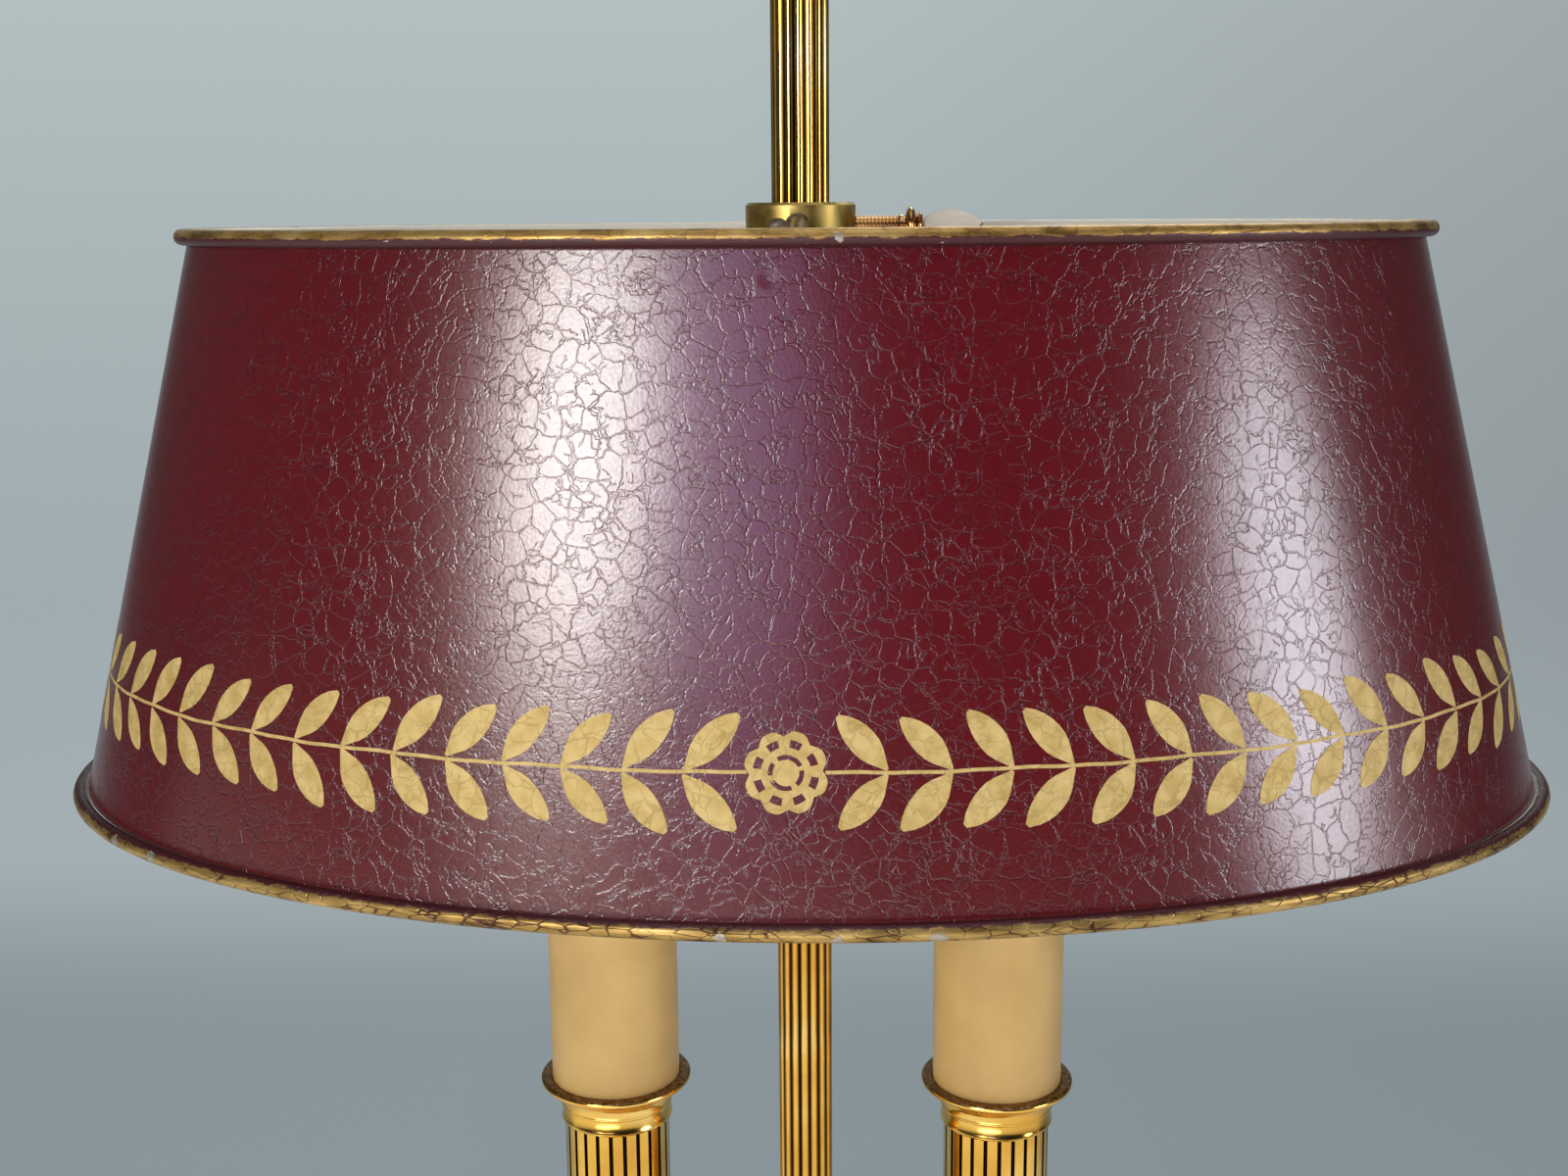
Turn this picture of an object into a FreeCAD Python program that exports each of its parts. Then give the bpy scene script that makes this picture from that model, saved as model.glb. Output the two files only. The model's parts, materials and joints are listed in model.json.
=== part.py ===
import FreeCAD, Part
import math
import os

# Two-light bouillotte lamp: dish base, reeded stem, two fluted candle columns on curved arms, and an
# oval lacquered shade that slides and turns on the stem and is held by a thumbscrew in its collar.
# Millimetres. Z is up, z = 0 is the table, X runs through both candles, the front is -Y.

# Reeded stem and the rods inside it
stem_r = 6.35
stem_reeds = 16
stem_reed_depth = 0.6
stem_bore_r = 5.1
rod_r = 4.85
rod_bore_r = 3.4
rod_bore_clear = 0.1

# Shade: semi-axes of the rim wires' centre lines
shade_bottom_z = 330.0
shade_bottom_a = 163.4
shade_bottom_b = 106.0
shade_top_a = 133.4
shade_top_b = 86.4
shade_height = 120.1
rim_wire_r = 1.7
skin_wall = 0.7
skin_inset = 1.3
skin_low_gap = 0.95
skin_high_gap = 1.45

# Collar, its inner sleeve and the thumbscrew
collar_r = 12.0
collar_height = 22.0
collar_rise = 6.2
collar_chamfer = 0.6
sleeve_wall = 0.58
sleeve_fit = 0.07
collar_fit = 0.06
sleeve_flange = 1.6
sleeve_flange_height = 0.9
key_thread_r = 2.5
key_fit = 0.06
key_drop = 5.2
key_tip_gap = 0.3
key_shank_out = 10.6
key_bead_r = 4.3
key_bead_length = 2.6
key_ring_r = 3.1
key_ring_length = 1.4
key_wing_length = 13.0
key_wing_half = 8.0
key_wing_thick = 1.8
key_wing_tilt = 22.0

# Spider arms from the collar to the shade
spider_r = 1.9
spider_front_drop = 4.4
spider_side_drop = 17.0
spider_front_fall = 8.8
spider_side_fall = 0.0
spider_bend_r = 5.0
spider_foot = 7.0
spider_skin_gap = 0.2

# Candle columns
candle_x = 45.3
capital_top_z = 253.3
capital_r = 17.55
capital_lip = 1.7
capital_height = 7.2
capital_seat_depth = 2.8
column_r = 12.35
column_flutes = 24
column_groove_width = 0.95
column_groove_depth = 0.8
column_bore_r = 10.0
column_height = 44.0
column_foot_height = 25.0
candle_r = 15.1
candle_wall = 1.2
candle_length = 96.0
candle_fit = 0.12

# Lampholder and bulb inside and above each candle tube
nipple_r = 4.85
nipple_bore_r = 3.4
nipple_fit = 0.1
nipple_rise = 6.5
nut_flats = 14.0
nut_height = 3.0
holder_r = 11.4
holder_length = 38.0
holder_below_top = 3.0
holder_floor = 9.0
bracket_wall = 1.0
bracket_width = 10.0
shell_r = 7.45
shell_wall = 0.3
shell_fit = 0.1
cap_r = 7.0
cap_length = 22.0
cap_foot = 3.0
bulb_r = 17.5
bulb_length = 81.0
bulb_wall = 0.9

# Hub, arms and rotary switch
hub_z = 166.0
hub_r = 20.0
hub_wall = 2.5
hub_half_height = 11.0
hub_neck_r = 8.6
hub_neck_length = 7.0
arm_r = 3.5
arm_bore_r = 2.2
arm_down_r = 9.0
arm_down_angle = 50.0
arm_fit = 0.08
arm_seat = 6.0
arm_rosette_r = 7.0
arm_rosette_thick = 2.4
switch_body_r = 7.6
switch_body_length = 8.0
switch_bush_r = 4.9
switch_bush_out = 6.2
switch_bush_fit = 0.1
switch_nut_r = 7.6
switch_nut_thick = 2.2
switch_knob_r = 7.2
switch_knob_length = 12.0
switch_spindle_r = 2.9
spindle_fit = 0.07
knob_reeds = 18
knob_reed_depth = 0.45
knob_gap = 0.6
switch_setback = 2.0

# Dish base
base_r = 100.0
base_height = 25.5
base_floor_z = 12.0
base_under_z = 9.0
base_rim_r = 2.2
foot_outer_r = 88.0
foot_wall = 6.0
foot_rise = 3.5
felt_thick = 1.5
felt_inset = 1.5
felt_hole_r = 16.0
weight_r = 72.0
weight_hole_r = 14.0
weight_slot = 9.0
washer_r = 12.5
washer_thick = 1.4
base_nut_height = 4.0
band_r = 36.0
band_reeds = 48
band_height = 9.0
band_reed_depth = 0.9
socle_height = 44.0
socle_seat = 3.0
inlet_hole_r = 3.8
inlet_bore_r = 3.1
inlet_flange_r = 4.9
inlet_flange_thick = 1.6
inlet_fit = 0.1
inlet_spot_clear = 0.3
inlet_spot_depth = 1.0

# Finial with its ring handle
stem_top_z = 546.0
finial_height = 22.0
finial_r = 10.5
finial_socket = 11.0
ring_r = 17.0
ring_wire_r = 2.6
ring_sink = 2.4

shade_top_z = shade_bottom_z + shade_height
collar_top_z = shade_top_z + collar_rise
collar_low_z = collar_top_z - collar_height
capital_low_z = capital_top_z - capital_height
column_low_z = capital_low_z - column_height
column_foot_z = column_low_z - column_foot_height
seat_z = capital_top_z - capital_seat_depth
candle_top_z = seat_z + candle_length
foot_z = felt_thick
socle_low_z = base_floor_z + band_height
socle_top_z = socle_low_z + socle_height
hub_low_z = hub_z - hub_half_height
hub_top_z = hub_z + hub_half_height
hub_bottom_z = hub_low_z - hub_neck_length
hub_roof_z = hub_top_z + hub_neck_length


def vec(x, y, z):
    return FreeCAD.Vector(x, y, z)


def save(node, shape):
    if not shape.isValid():
        print("not valid:", node)
    print(f"{node}: {len(shape.Solids)} solid, {shape.Volume / 1000:.2f} cm3")
    shape.exportStep(f"parts/{node}.step")


# Profiles: each point is (r, z), or (r, z, bulge) for an arc that bulges to the right of the way along
def profile_edges(points, place):
    edges = []
    for start, end in zip(points, points[1:] + points[:1]):
        a, b = place(*start[:2]), place(*end[:2])
        bulge = end[2] if len(end) == 3 else 0
        if bulge:
            dr, dz = end[0] - start[0], end[1] - start[1]
            mid = place((start[0] + end[0] + dz * bulge) / 2, (start[1] + end[1] - dr * bulge) / 2)
            edges.append(Part.Arc(a, mid, b).toShape())
        else:
            edges.append(Part.LineSegment(a, b).toShape())
    return edges


# A turned piece about the vertical line through x
def turned(points, x=0):
    face = Part.Face(Part.Wire(profile_edges(points, lambda r, z: vec(x + r, 0, z))))
    return face.revolve(vec(x, 0, 0), vec(0, 0, 1), 360)


# A turned piece about a level line from the point start along the way given; z in the profile is along it
def turned_along(points, start, way):
    face = Part.Face(Part.Wire(profile_edges(points, lambda r, z: vec(r, 0, z))))
    solid = face.revolve(vec(0, 0, 0), vec(0, 0, 1), 360)
    solid.Placement = FreeCAD.Placement(start, FreeCAD.Rotation(vec(0, 0, 1), way))
    return solid


def disc(r, low, high, x=0):
    return Part.makeCylinder(r, high - low, vec(x, 0, low))


def tube(outer, inner, low, high, x=0):
    return disc(outer, low, high, x).cut(disc(inner, low, high, x))


# Convex reeds side by side round a bar, each an arc from groove to groove
def reeded_bar(radius, count, depth, low, high, x=0):
    def point(r, step):
        turn = 2 * math.pi * step / count
        return vec(x + r * math.cos(turn), r * math.sin(turn), low)

    edges = [Part.Arc(point(radius - depth, k), point(radius, k + 0.5), point(radius - depth, k + 1)).toShape()
             for k in range(count)]
    return Part.Face(Part.Wire(edges)).extrude(vec(0, 0, high - low))


# Narrow round grooves cut in a bar, with flat lands between them
def fluted_bar(radius, count, width, depth, low, high, x=0):
    half = width / radius / 2

    def point(r, turn):
        return vec(x + r * math.cos(turn), r * math.sin(turn), low)

    edges = []
    for k in range(count):
        centre = 2 * math.pi * k / count
        after = 2 * math.pi * (k + 1) / count
        edges.append(Part.Arc(point(radius, centre - half), point(radius - depth, centre),
                              point(radius, centre + half)).toShape())
        edges.append(Part.Arc(point(radius, centre + half), point(radius, (centre + after) / 2),
                              point(radius, after - half)).toShape())
    return Part.Face(Part.Wire(edges)).extrude(vec(0, 0, high - low))


# A round bar swept along joined edges
def swept_bar(edges, radius):
    path = Part.Wire(edges)
    start = edges[0].valueAt(edges[0].FirstParameter)
    way = edges[0].tangentAt(edges[0].FirstParameter)
    ring = Part.Wire(Part.makeCircle(radius, start, way))
    sweep = Part.BRepOffsetAPI.MakePipeShell(path)
    sweep.add(ring)
    sweep.build()
    sweep.makeSolid()
    return sweep.shape()


def hexagon(flats, low, high, x=0, y=0):
    corner = flats / math.sqrt(3)
    points = [vec(x + corner * math.cos(math.radians(60 * k)), y + corner * math.sin(math.radians(60 * k)), low)
              for k in range(7)]
    return Part.Face(Part.makePolygon(points)).extrude(vec(0, 0, high - low))


def oval(a, b, z):
    return Part.Wire(Part.Ellipse(vec(0, 0, z), a, b).toShape())


# Semi-axes of the shade's outer skin at a height above the bottom rim plane
def skin_at(height, inset):
    share = height / shade_height
    a = shade_bottom_a + (shade_top_a - shade_bottom_a) * share - inset
    b = shade_bottom_b + (shade_top_b - shade_bottom_b) * share - inset
    return a, b


def shade_skin():
    low, high = skin_low_gap, shade_height - skin_high_gap
    shells = []
    for inset in (skin_inset, skin_inset + skin_wall):
        rings = [oval(*skin_at(h, inset), shade_bottom_z + h) for h in (low, high)]
        shells.append(Part.makeLoft(rings, True, True))
    return shells[0].cut(shells[1])


def rim_wire(a, b, z):
    path = oval(a, b, z)
    ring = Part.Wire(Part.makeCircle(rim_wire_r, vec(a, 0, z), vec(0, 1, 0)))
    sweep = Part.BRepOffsetAPI.MakePipeShell(path)
    sweep.add(ring)
    sweep.build()
    sweep.makeSolid()
    return sweep.shape()


# One spider arm: out from the collar, falling a little, then bent down against the skin
def spider_arm(turn, drop, fall, reach_index):
    start_z = collar_top_z - drop
    end_z = start_z - fall
    inner = skin_at(end_z - spider_foot - shade_bottom_z, skin_inset + skin_wall)[reach_index]
    top_inner = skin_at(end_z - shade_bottom_z, skin_inset + skin_wall)[reach_index]
    foot_out = inner - spider_r - spider_skin_gap
    knee_out = top_inner - spider_r - spider_skin_gap
    points = [vec(collar_r - 0.6, 0, start_z), vec(knee_out, 0, end_z), vec(foot_out, 0, end_z - spider_foot)]
    into = (points[1] - points[0]).normalize()
    away = (points[2] - points[1]).normalize()
    half = into.getAngle(away) / 2
    reach = spider_bend_r * math.tan(half)
    first, last = points[1] - into * reach, points[1] + away * reach
    centre_way = (away - into).normalize()
    middle = points[1] + centre_way * (spider_bend_r / math.cos(half) - spider_bend_r)
    edges = [Part.LineSegment(points[0], first).toShape(), Part.Arc(first, middle, last).toShape(),
             Part.LineSegment(last, points[2]).toShape()]
    arm = swept_bar(edges, spider_r)
    arm.rotate(vec(0, 0, 0), vec(0, 0, 1), turn)
    return arm


def build_shade():
    long_way = (spider_side_drop, spider_side_fall, 0)
    short_way = (spider_front_drop, spider_front_fall, 1)
    arms = {"spider_arm_right": (0, *long_way), "spider_arm_rear": (90, *short_way),
            "spider_arm_left": (180, *long_way), "spider_arm_front": (270, *short_way)}
    solids = {node: spider_arm(*where) for node, where in arms.items()}
    sleeve_r = stem_r + sleeve_fit + sleeve_wall
    bore_r = sleeve_r + collar_fit
    key_z = collar_top_z - key_drop
    edge = collar_chamfer
    collar = turned([(bore_r, collar_low_z), (collar_r - edge, collar_low_z), (collar_r, collar_low_z + edge),
                     (collar_r, collar_top_z - edge), (collar_r - edge, collar_top_z), (bore_r, collar_top_z)])
    collar = collar.cut(Part.makeCylinder(key_thread_r + key_fit, collar_r, vec(sleeve_r, 0, key_z), vec(1, 0, 0)))
    for arm in solids.values():
        collar = collar.cut(arm)
    save("shade_collar", collar)
    low = collar_low_z - sleeve_flange_height - collar_fit
    save("collar_sleeve", turned([(stem_r + sleeve_fit, low), (sleeve_r + sleeve_flange, low),
                                  (sleeve_r + sleeve_flange, collar_low_z - collar_fit),
                                  (sleeve_r, collar_low_z - collar_fit), (sleeve_r, collar_top_z),
                                  (stem_r + sleeve_fit, collar_top_z)]))
    save("shade_skin", shade_skin())
    save("rim_wire_bottom", rim_wire(shade_bottom_a, shade_bottom_b, shade_bottom_z))
    save("rim_wire_top", rim_wire(shade_top_a, shade_top_b, shade_top_z))
    for node, arm in solids.items():
        save(node, arm)
    build_key(sleeve_r, key_z)


# Thumbscrew: turned shank with its bead and ring, and the flat leaf that the fingers turn
def build_key(sleeve_r, key_z):
    tip = sleeve_r + key_tip_gap
    shank = collar_r + key_shank_out - tip
    bead_end = shank + key_bead_length
    ring_end = bead_end + key_ring_length
    neck = key_thread_r * 0.8
    screw = turned_along([(0, 0), (key_thread_r - 0.5, 0), (key_thread_r, 0.5), (key_thread_r, shank),
                          (key_bead_r, shank + key_bead_length / 2, -0.4),
                          (neck, bead_end, -0.4), (key_ring_r, bead_end + key_ring_length / 2, -0.3),
                          (neck, ring_end, -0.3), (0, ring_end)], vec(tip, 0, key_z), vec(1, 0, 0))
    save("key_screw", screw)
    root = tip + ring_end
    end = root + key_wing_length
    half = key_wing_half
    low = key_z - key_wing_thick / 2
    points = [vec(root, -neck, low), vec(root + half * 0.75, -half, low), vec(end, 0, low),
              vec(root + half * 0.75, half, low), vec(root, neck, low)]
    outline = [Part.Arc(points[0], vec(root + 2.2, -half * 0.72, low), points[1]).toShape(),
               Part.Arc(points[1], vec(end - 2.6, -half * 0.62, low), points[2]).toShape(),
               Part.Arc(points[2], vec(end - 2.6, half * 0.62, low), points[3]).toShape(),
               Part.Arc(points[3], vec(root + 2.2, half * 0.72, low), points[4]).toShape(),
               Part.LineSegment(points[4], points[0]).toShape()]
    wing = Part.Face(Part.Wire(outline)).extrude(vec(0, 0, key_wing_thick))
    wing.rotate(vec(0, 0, key_z), vec(1, 0, 0), key_wing_tilt)
    save("key_wing", wing)


def build_candles():
    for side, x in (("left", -candle_x), ("right", candle_x)):
        build_column(side, x)
        build_lampholder(side, x)
        build_arm(side, x)


def build_column(side, x):
    bore = nipple_r + nipple_fit
    lip = capital_top_z - capital_lip
    seat_r = candle_r + candle_fit
    foot_r = column_r + 0.6
    save(f"capital_{side}", turned([
        (bore, capital_low_z), (foot_r, capital_low_z), (foot_r + 0.3, capital_low_z + 0.8, 0.4),
        (candle_r + 0.2, lip - 1.0, -0.35), (candle_r + 0.2, lip), (capital_r - 0.6, lip),
        (capital_r - 0.6, capital_top_z, 1.0), (seat_r, capital_top_z), (seat_r, seat_z), (bore, seat_z)], x))
    column = fluted_bar(column_r, column_flutes, column_groove_width, column_groove_depth,
                        column_low_z, capital_low_z, x)
    save(f"column_{side}", column.cut(disc(column_bore_r, column_low_z, capital_low_z, x)))
    z = column_foot_z
    ring_r = column_r + 0.8
    save(f"column_foot_{side}", turned([
        (arm_r + arm_fit, z), (5.6, z), (6.2, z + 1.5, 0.5), (5.6, z + 3.0, 0.5), (5.6, z + 5.0),
        (8.4, z + 6.6, 0.3), (8.4, z + 8.4, 0.6), (6.6, z + 9.4), (ring_r - 1.6, z + 20.0, -0.35),
        (ring_r, z + 20.8), (ring_r, z + 23.0, 0.9), (column_r + 0.1, z + 24.0), (column_r + 0.1, column_low_z),
        (bore, column_low_z), (bore, z + arm_seat + 2), (arm_r + arm_fit, z + arm_seat + 2)], x))
    save(f"candle_tube_{side}", tube(candle_r, candle_r - candle_wall, seat_z, candle_top_z, x))


def build_lampholder(side, x):
    nipple_low = column_foot_z + arm_seat + 3
    nipple_top = seat_z + nipple_rise
    save(f"nipple_{side}", tube(nipple_r, nipple_bore_r, nipple_low, nipple_top, x))
    nut_low = seat_z + bracket_wall
    nut = hexagon(nut_flats, nut_low, nut_low + nut_height, x)
    save(f"holder_nut_{side}", nut.cut(disc(nipple_r + nipple_fit, nut_low, nut_low + nut_height, x)))
    holder_top = candle_top_z - holder_below_top
    holder_low = holder_top - holder_length
    leg = holder_r + bracket_wall
    bracket = disc(nut_flats / 2 + 1, seat_z, seat_z + bracket_wall, x)
    bracket = bracket.fuse(Part.makeBox(bracket_width, leg, bracket_wall, vec(x - bracket_width / 2, 0, seat_z)))
    bracket = bracket.fuse(Part.makeBox(bracket_width, bracket_wall, holder_low + holder_floor - seat_z,
                                        vec(x - bracket_width / 2, holder_r, seat_z)))
    bracket = bracket.cut(disc(nipple_r + nipple_fit, seat_z, seat_z + bracket_wall, x)).removeSplitter()
    save(f"holder_bracket_{side}", bracket)
    bore = shell_r + shell_fit
    flat = Part.makeBox(2 * holder_r, holder_r, holder_floor + 2, vec(x - holder_r, holder_r, holder_low))
    holder = turned([(2.0, holder_low), (holder_r - 1, holder_low), (holder_r, holder_low + 1), (holder_r, holder_top),
                     (bore, holder_top), (bore, holder_low + holder_floor), (2.0, holder_low + holder_floor)], x)
    save(f"lampholder_{side}", holder.cut(flat))
    shell_low = holder_low + holder_floor + 3
    save(f"screw_shell_{side}", tube(shell_r, shell_r - shell_wall, shell_low, holder_top - 2, x))
    contact_low = holder_low + holder_floor
    contact_top = contact_low + 3
    save(f"centre_contact_{side}", disc(2.6, contact_low, contact_top, x))
    build_bulb(side, x, contact_top, holder_top)


def build_bulb(side, x, low, holder_top):
    wall = 0.6
    top = low + cap_foot + cap_length
    save(f"bulb_cap_{side}", turned([
        (0, low), (2.4, low), (3.2, low + 1.0), (cap_r, low + cap_foot), (cap_r, top),
        (cap_r - wall, top), (cap_r - wall, low + cap_foot + wall), (0, low + cap_foot + wall)], x))
    neck = cap_r - wall - 0.1
    base = top - 6
    tip = base + bulb_length

    def flame(inset):
        points = [(neck, top + 1), (11.6, base + 16), (bulb_r, base + 31), (14.6, base + 48), (7.6, base + 65),
                  (2.6, tip - 1.6), (1.0, tip)]
        return [vec(x + r - inset, 0, z if k < len(points) - 1 else z - inset) for k, (r, z) in enumerate(points)]

    outer, inner = flame(0), flame(bulb_wall)
    corners = [vec(x + neck - bulb_wall, 0, base), vec(x + neck, 0, base), outer[0]]
    edges = [Part.LineSegment(a, b).toShape() for a, b in zip(corners, corners[1:])]
    for points in (outer, inner):
        curve = Part.BSplineCurve()
        curve.interpolate(points)
        edges.append(curve.toShape())
    edges += [Part.LineSegment(outer[-1], vec(x, 0, tip)).toShape(),
              Part.LineSegment(vec(x, 0, tip), vec(x, 0, tip - bulb_wall)).toShape(),
              Part.LineSegment(vec(x, 0, tip - bulb_wall), inner[-1]).toShape(),
              Part.LineSegment(inner[0], corners[0]).toShape()]
    face = Part.Face(Part.Wire(Part.__sortEdges__(edges)))
    save(f"bulb_glass_{side}", face.revolve(vec(x, 0, 0), vec(0, 0, 1), 360))


# Arm: straight out of the hub, a dip, and a wide bend up into the column foot
def build_arm(side, x):
    sign = -1 if x < 0 else 1
    dip = math.radians(arm_down_angle)
    start_x = hub_r - hub_wall - 3
    bend_x = hub_r + arm_rosette_thick + 0.4
    down_x = bend_x + arm_down_r * math.sin(dip)
    rise_r = (candle_x - down_x) / (1 + math.sin(dip))
    down_z = hub_z - arm_down_r * (1 - math.cos(dip))
    end_z = down_z + rise_r * math.cos(dip)

    def down(turn):
        return vec(sign * (bend_x + arm_down_r * math.sin(turn)), 0, hub_z - arm_down_r * (1 - math.cos(turn)))

    def rise(turn):
        return vec(sign * (down_x + rise_r * (math.sin(turn) + math.sin(dip))), 0,
                   down_z + rise_r * (math.cos(dip) - math.cos(turn)))

    edges = [Part.LineSegment(vec(sign * start_x, 0, hub_z), down(0)).toShape(),
             Part.Arc(down(0), down(dip / 2), down(dip)).toShape(),
             Part.Arc(rise(-dip), rise((math.pi / 2 - dip) / 2), rise(math.pi / 2)).toShape(),
             Part.LineSegment(vec(x, 0, end_z), vec(x, 0, column_foot_z + arm_seat)).toShape()]
    save(f"arm_{side}", swept_bar(edges, arm_r).cut(swept_bar(edges, arm_bore_r)))
    hole = arm_r + arm_fit
    rose = turned_along([(hole, 0), (arm_rosette_r, 0), (arm_rosette_r, 0.8), (hole + 0.8, arm_rosette_thick, -0.3),
                         (hole, arm_rosette_thick)], vec(sign * (hub_r + 0.02), 0, hub_z), vec(sign, 0, 0))
    save(f"arm_rosette_{side}", rose)


def build_hub():
    rod_hole = rod_r + rod_bore_clear
    seat = stem_r + 0.05
    inner = hub_r - hub_wall
    split = hub_top_z
    body = turned([
        (rod_hole, hub_bottom_z + 2), (seat, hub_bottom_z + 2), (seat, hub_bottom_z), (hub_neck_r, hub_bottom_z),
        (hub_neck_r, hub_bottom_z + 1.6, 0.9), (hub_neck_r - 0.6, hub_bottom_z + 3.4), (hub_r - 5, hub_low_z - 1, -0.3),
        (hub_r, hub_low_z + 4, 0.35), (hub_r, split), (inner, split), (inner, hub_low_z + 3),
        (rod_hole, hub_low_z + 3)])
    arm_hole = arm_r + arm_fit
    body = body.cut(Part.makeCylinder(arm_hole, 2 * hub_r + 2, vec(-hub_r - 1, 0, hub_z), vec(1, 0, 0)))
    bush = Part.makeCylinder(switch_bush_r + switch_bush_fit, hub_r, vec(0, 0, hub_z), vec(0, -1, 0))
    save("hub_body", body.cut(bush))
    cap = turned([
        (rod_hole, split + 1), (inner - 0.1, split + 1), (inner - 0.1, split), (hub_r + 1, split),
        (hub_r + 1, split + 2, 0.9), (hub_neck_r + 2.6, hub_roof_z - 2.4, -0.4), (hub_neck_r, hub_roof_z - 1.6),
        (hub_neck_r, hub_roof_z, 0.9), (seat, hub_roof_z), (seat, hub_roof_z - 2), (rod_hole, hub_roof_z - 2)])
    save("hub_cap", cap)
    for node, low in (("hub_nut_lower", hub_low_z + 3), ("hub_nut_upper", split + 1 - nut_height)):
        nut = hexagon(nut_flats, low, low + nut_height)
        save(node, nut.cut(disc(rod_hole, low, low + nut_height)))
    save("lower_stem", reeded_bar(stem_r, stem_reeds, stem_reed_depth, socle_top_z - socle_seat, hub_bottom_z + 2)
         .cut(disc(stem_bore_r, socle_top_z - socle_seat, hub_bottom_z + 2)))
    save("upper_stem", reeded_bar(stem_r, stem_reeds, stem_reed_depth, hub_roof_z - 2, stem_top_z + 2)
         .cut(disc(stem_bore_r, hub_roof_z - 2, stem_top_z + 2)))
    rod_low = felt_thick + 0.8
    save("lower_rod", tube(rod_r, rod_bore_r, rod_low, hub_low_z + 3 + nut_height + 1.5))
    save("upper_rod", disc(rod_r, split + 1 - nut_height - 1, stem_top_z + finial_socket - 1))


def build_switch():
    bush_end = switch_body_length + hub_wall + switch_bush_out
    bore = switch_spindle_r + spindle_fit
    spindle_end = 2.0
    start_y = -(hub_r - hub_wall - switch_body_length - switch_setback)
    start, way = vec(0, start_y, hub_z), vec(0, -1, 0)
    save("switch_body", turned_along([
        (0, 0), (switch_body_r, 0), (switch_body_r, switch_body_length), (switch_bush_r, switch_body_length),
        (switch_bush_r, bush_end), (bore, bush_end), (bore, spindle_end), (0, spindle_end)], start, way))
    nut_low = hub_r + 0.1 + start_y
    hole = switch_bush_r + switch_bush_fit
    save("switch_nut", turned_along([
        (hole, nut_low), (switch_nut_r, nut_low), (switch_nut_r, nut_low + switch_nut_thick - 0.7),
        (switch_nut_r - 0.7, nut_low + switch_nut_thick), (hole, nut_low + switch_nut_thick)], start, way))
    knob_low = bush_end + knob_gap
    knob_top = knob_low + switch_knob_length
    knob = reeded_bar(switch_knob_r, knob_reeds, knob_reed_depth, knob_low, knob_top)
    round_top = turned([
        (0, knob_low), (switch_knob_r - 1.2, knob_low), (switch_knob_r, knob_low + 1.2), (switch_knob_r, knob_top - 3.0),
        (switch_knob_r - 2.4, knob_top - 0.6, 0.35), (0, knob_top, 0.1)])
    spindle = disc(switch_spindle_r, spindle_end + knob_gap, knob_low + 1)
    knob = knob.common(round_top).fuse(spindle)
    knob.Placement = FreeCAD.Placement(start, FreeCAD.Rotation(vec(0, 0, 1), way))
    save("switch_knob", knob)


def build_base():
    hole = rod_r + rod_bore_clear
    rim_z = base_height - base_rim_r
    inner_r = base_r - 2 * base_rim_r
    foot_inner_r = foot_outer_r - foot_wall
    inlet_z = foot_z + inlet_flange_r
    dish = turned([
        (hole, base_under_z), (foot_inner_r, base_under_z), (foot_inner_r, foot_z), (foot_outer_r, foot_z),
        (foot_outer_r, foot_z + foot_rise), (base_r - 3.4, base_floor_z + 3.0, -0.25), (base_r - 1.6, rim_z - 1.5, -0.1),
        (base_r, rim_z), (inner_r, rim_z, 1.0), (inner_r - 0.6, rim_z - 1.5), (inner_r - 9.0, base_floor_z, 0.3),
        (hole, base_floor_z)])
    spot_y = foot_outer_r - inlet_spot_depth
    dish = dish.cut(Part.makeCylinder(inlet_hole_r, base_r, vec(0, foot_inner_r - 3, inlet_z), vec(0, 1, 0)))
    spot_r = inlet_flange_r + inlet_spot_clear
    dish = dish.cut(Part.makeCylinder(spot_r, base_r - spot_y, vec(0, spot_y, inlet_z), vec(0, 1, 0)))
    save("base_dish", dish)
    shank_r = inlet_hole_r - inlet_fit
    back = foot_wall + 1.0
    flange_end = back + inlet_flange_thick
    save("cable_inlet", turned_along([
        (inlet_bore_r, 0), (shank_r, 0), (shank_r, back), (inlet_flange_r, back), (inlet_flange_r, flange_end - 0.5),
        (inlet_flange_r - 0.5, flange_end), (inlet_bore_r, flange_end)], vec(0, spot_y - back, inlet_z), vec(0, 1, 0)))
    weight = tube(weight_r, weight_hole_r, foot_z, base_under_z)
    slot = Part.makeBox(weight_slot, weight_r + 1, base_under_z, vec(-weight_slot / 2, 0, 0))
    save("base_weight", weight.cut(slot))
    felt_outer = foot_outer_r - felt_inset
    save("base_felt", tube(felt_outer, felt_hole_r, 0, foot_z))
    washer_low = base_under_z - washer_thick
    save("base_washer", tube(washer_r, hole, washer_low, base_under_z))
    nut_low = washer_low - base_nut_height
    save("base_nut", hexagon(nut_flats, nut_low, washer_low).cut(disc(hole, nut_low, washer_low)))
    band = reeded_bar(band_r, band_reeds, band_reed_depth, base_floor_z, socle_low_z)
    save("base_reeded_band", band.cut(disc(hole, base_floor_z, socle_low_z)))
    build_socle(hole)


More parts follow.
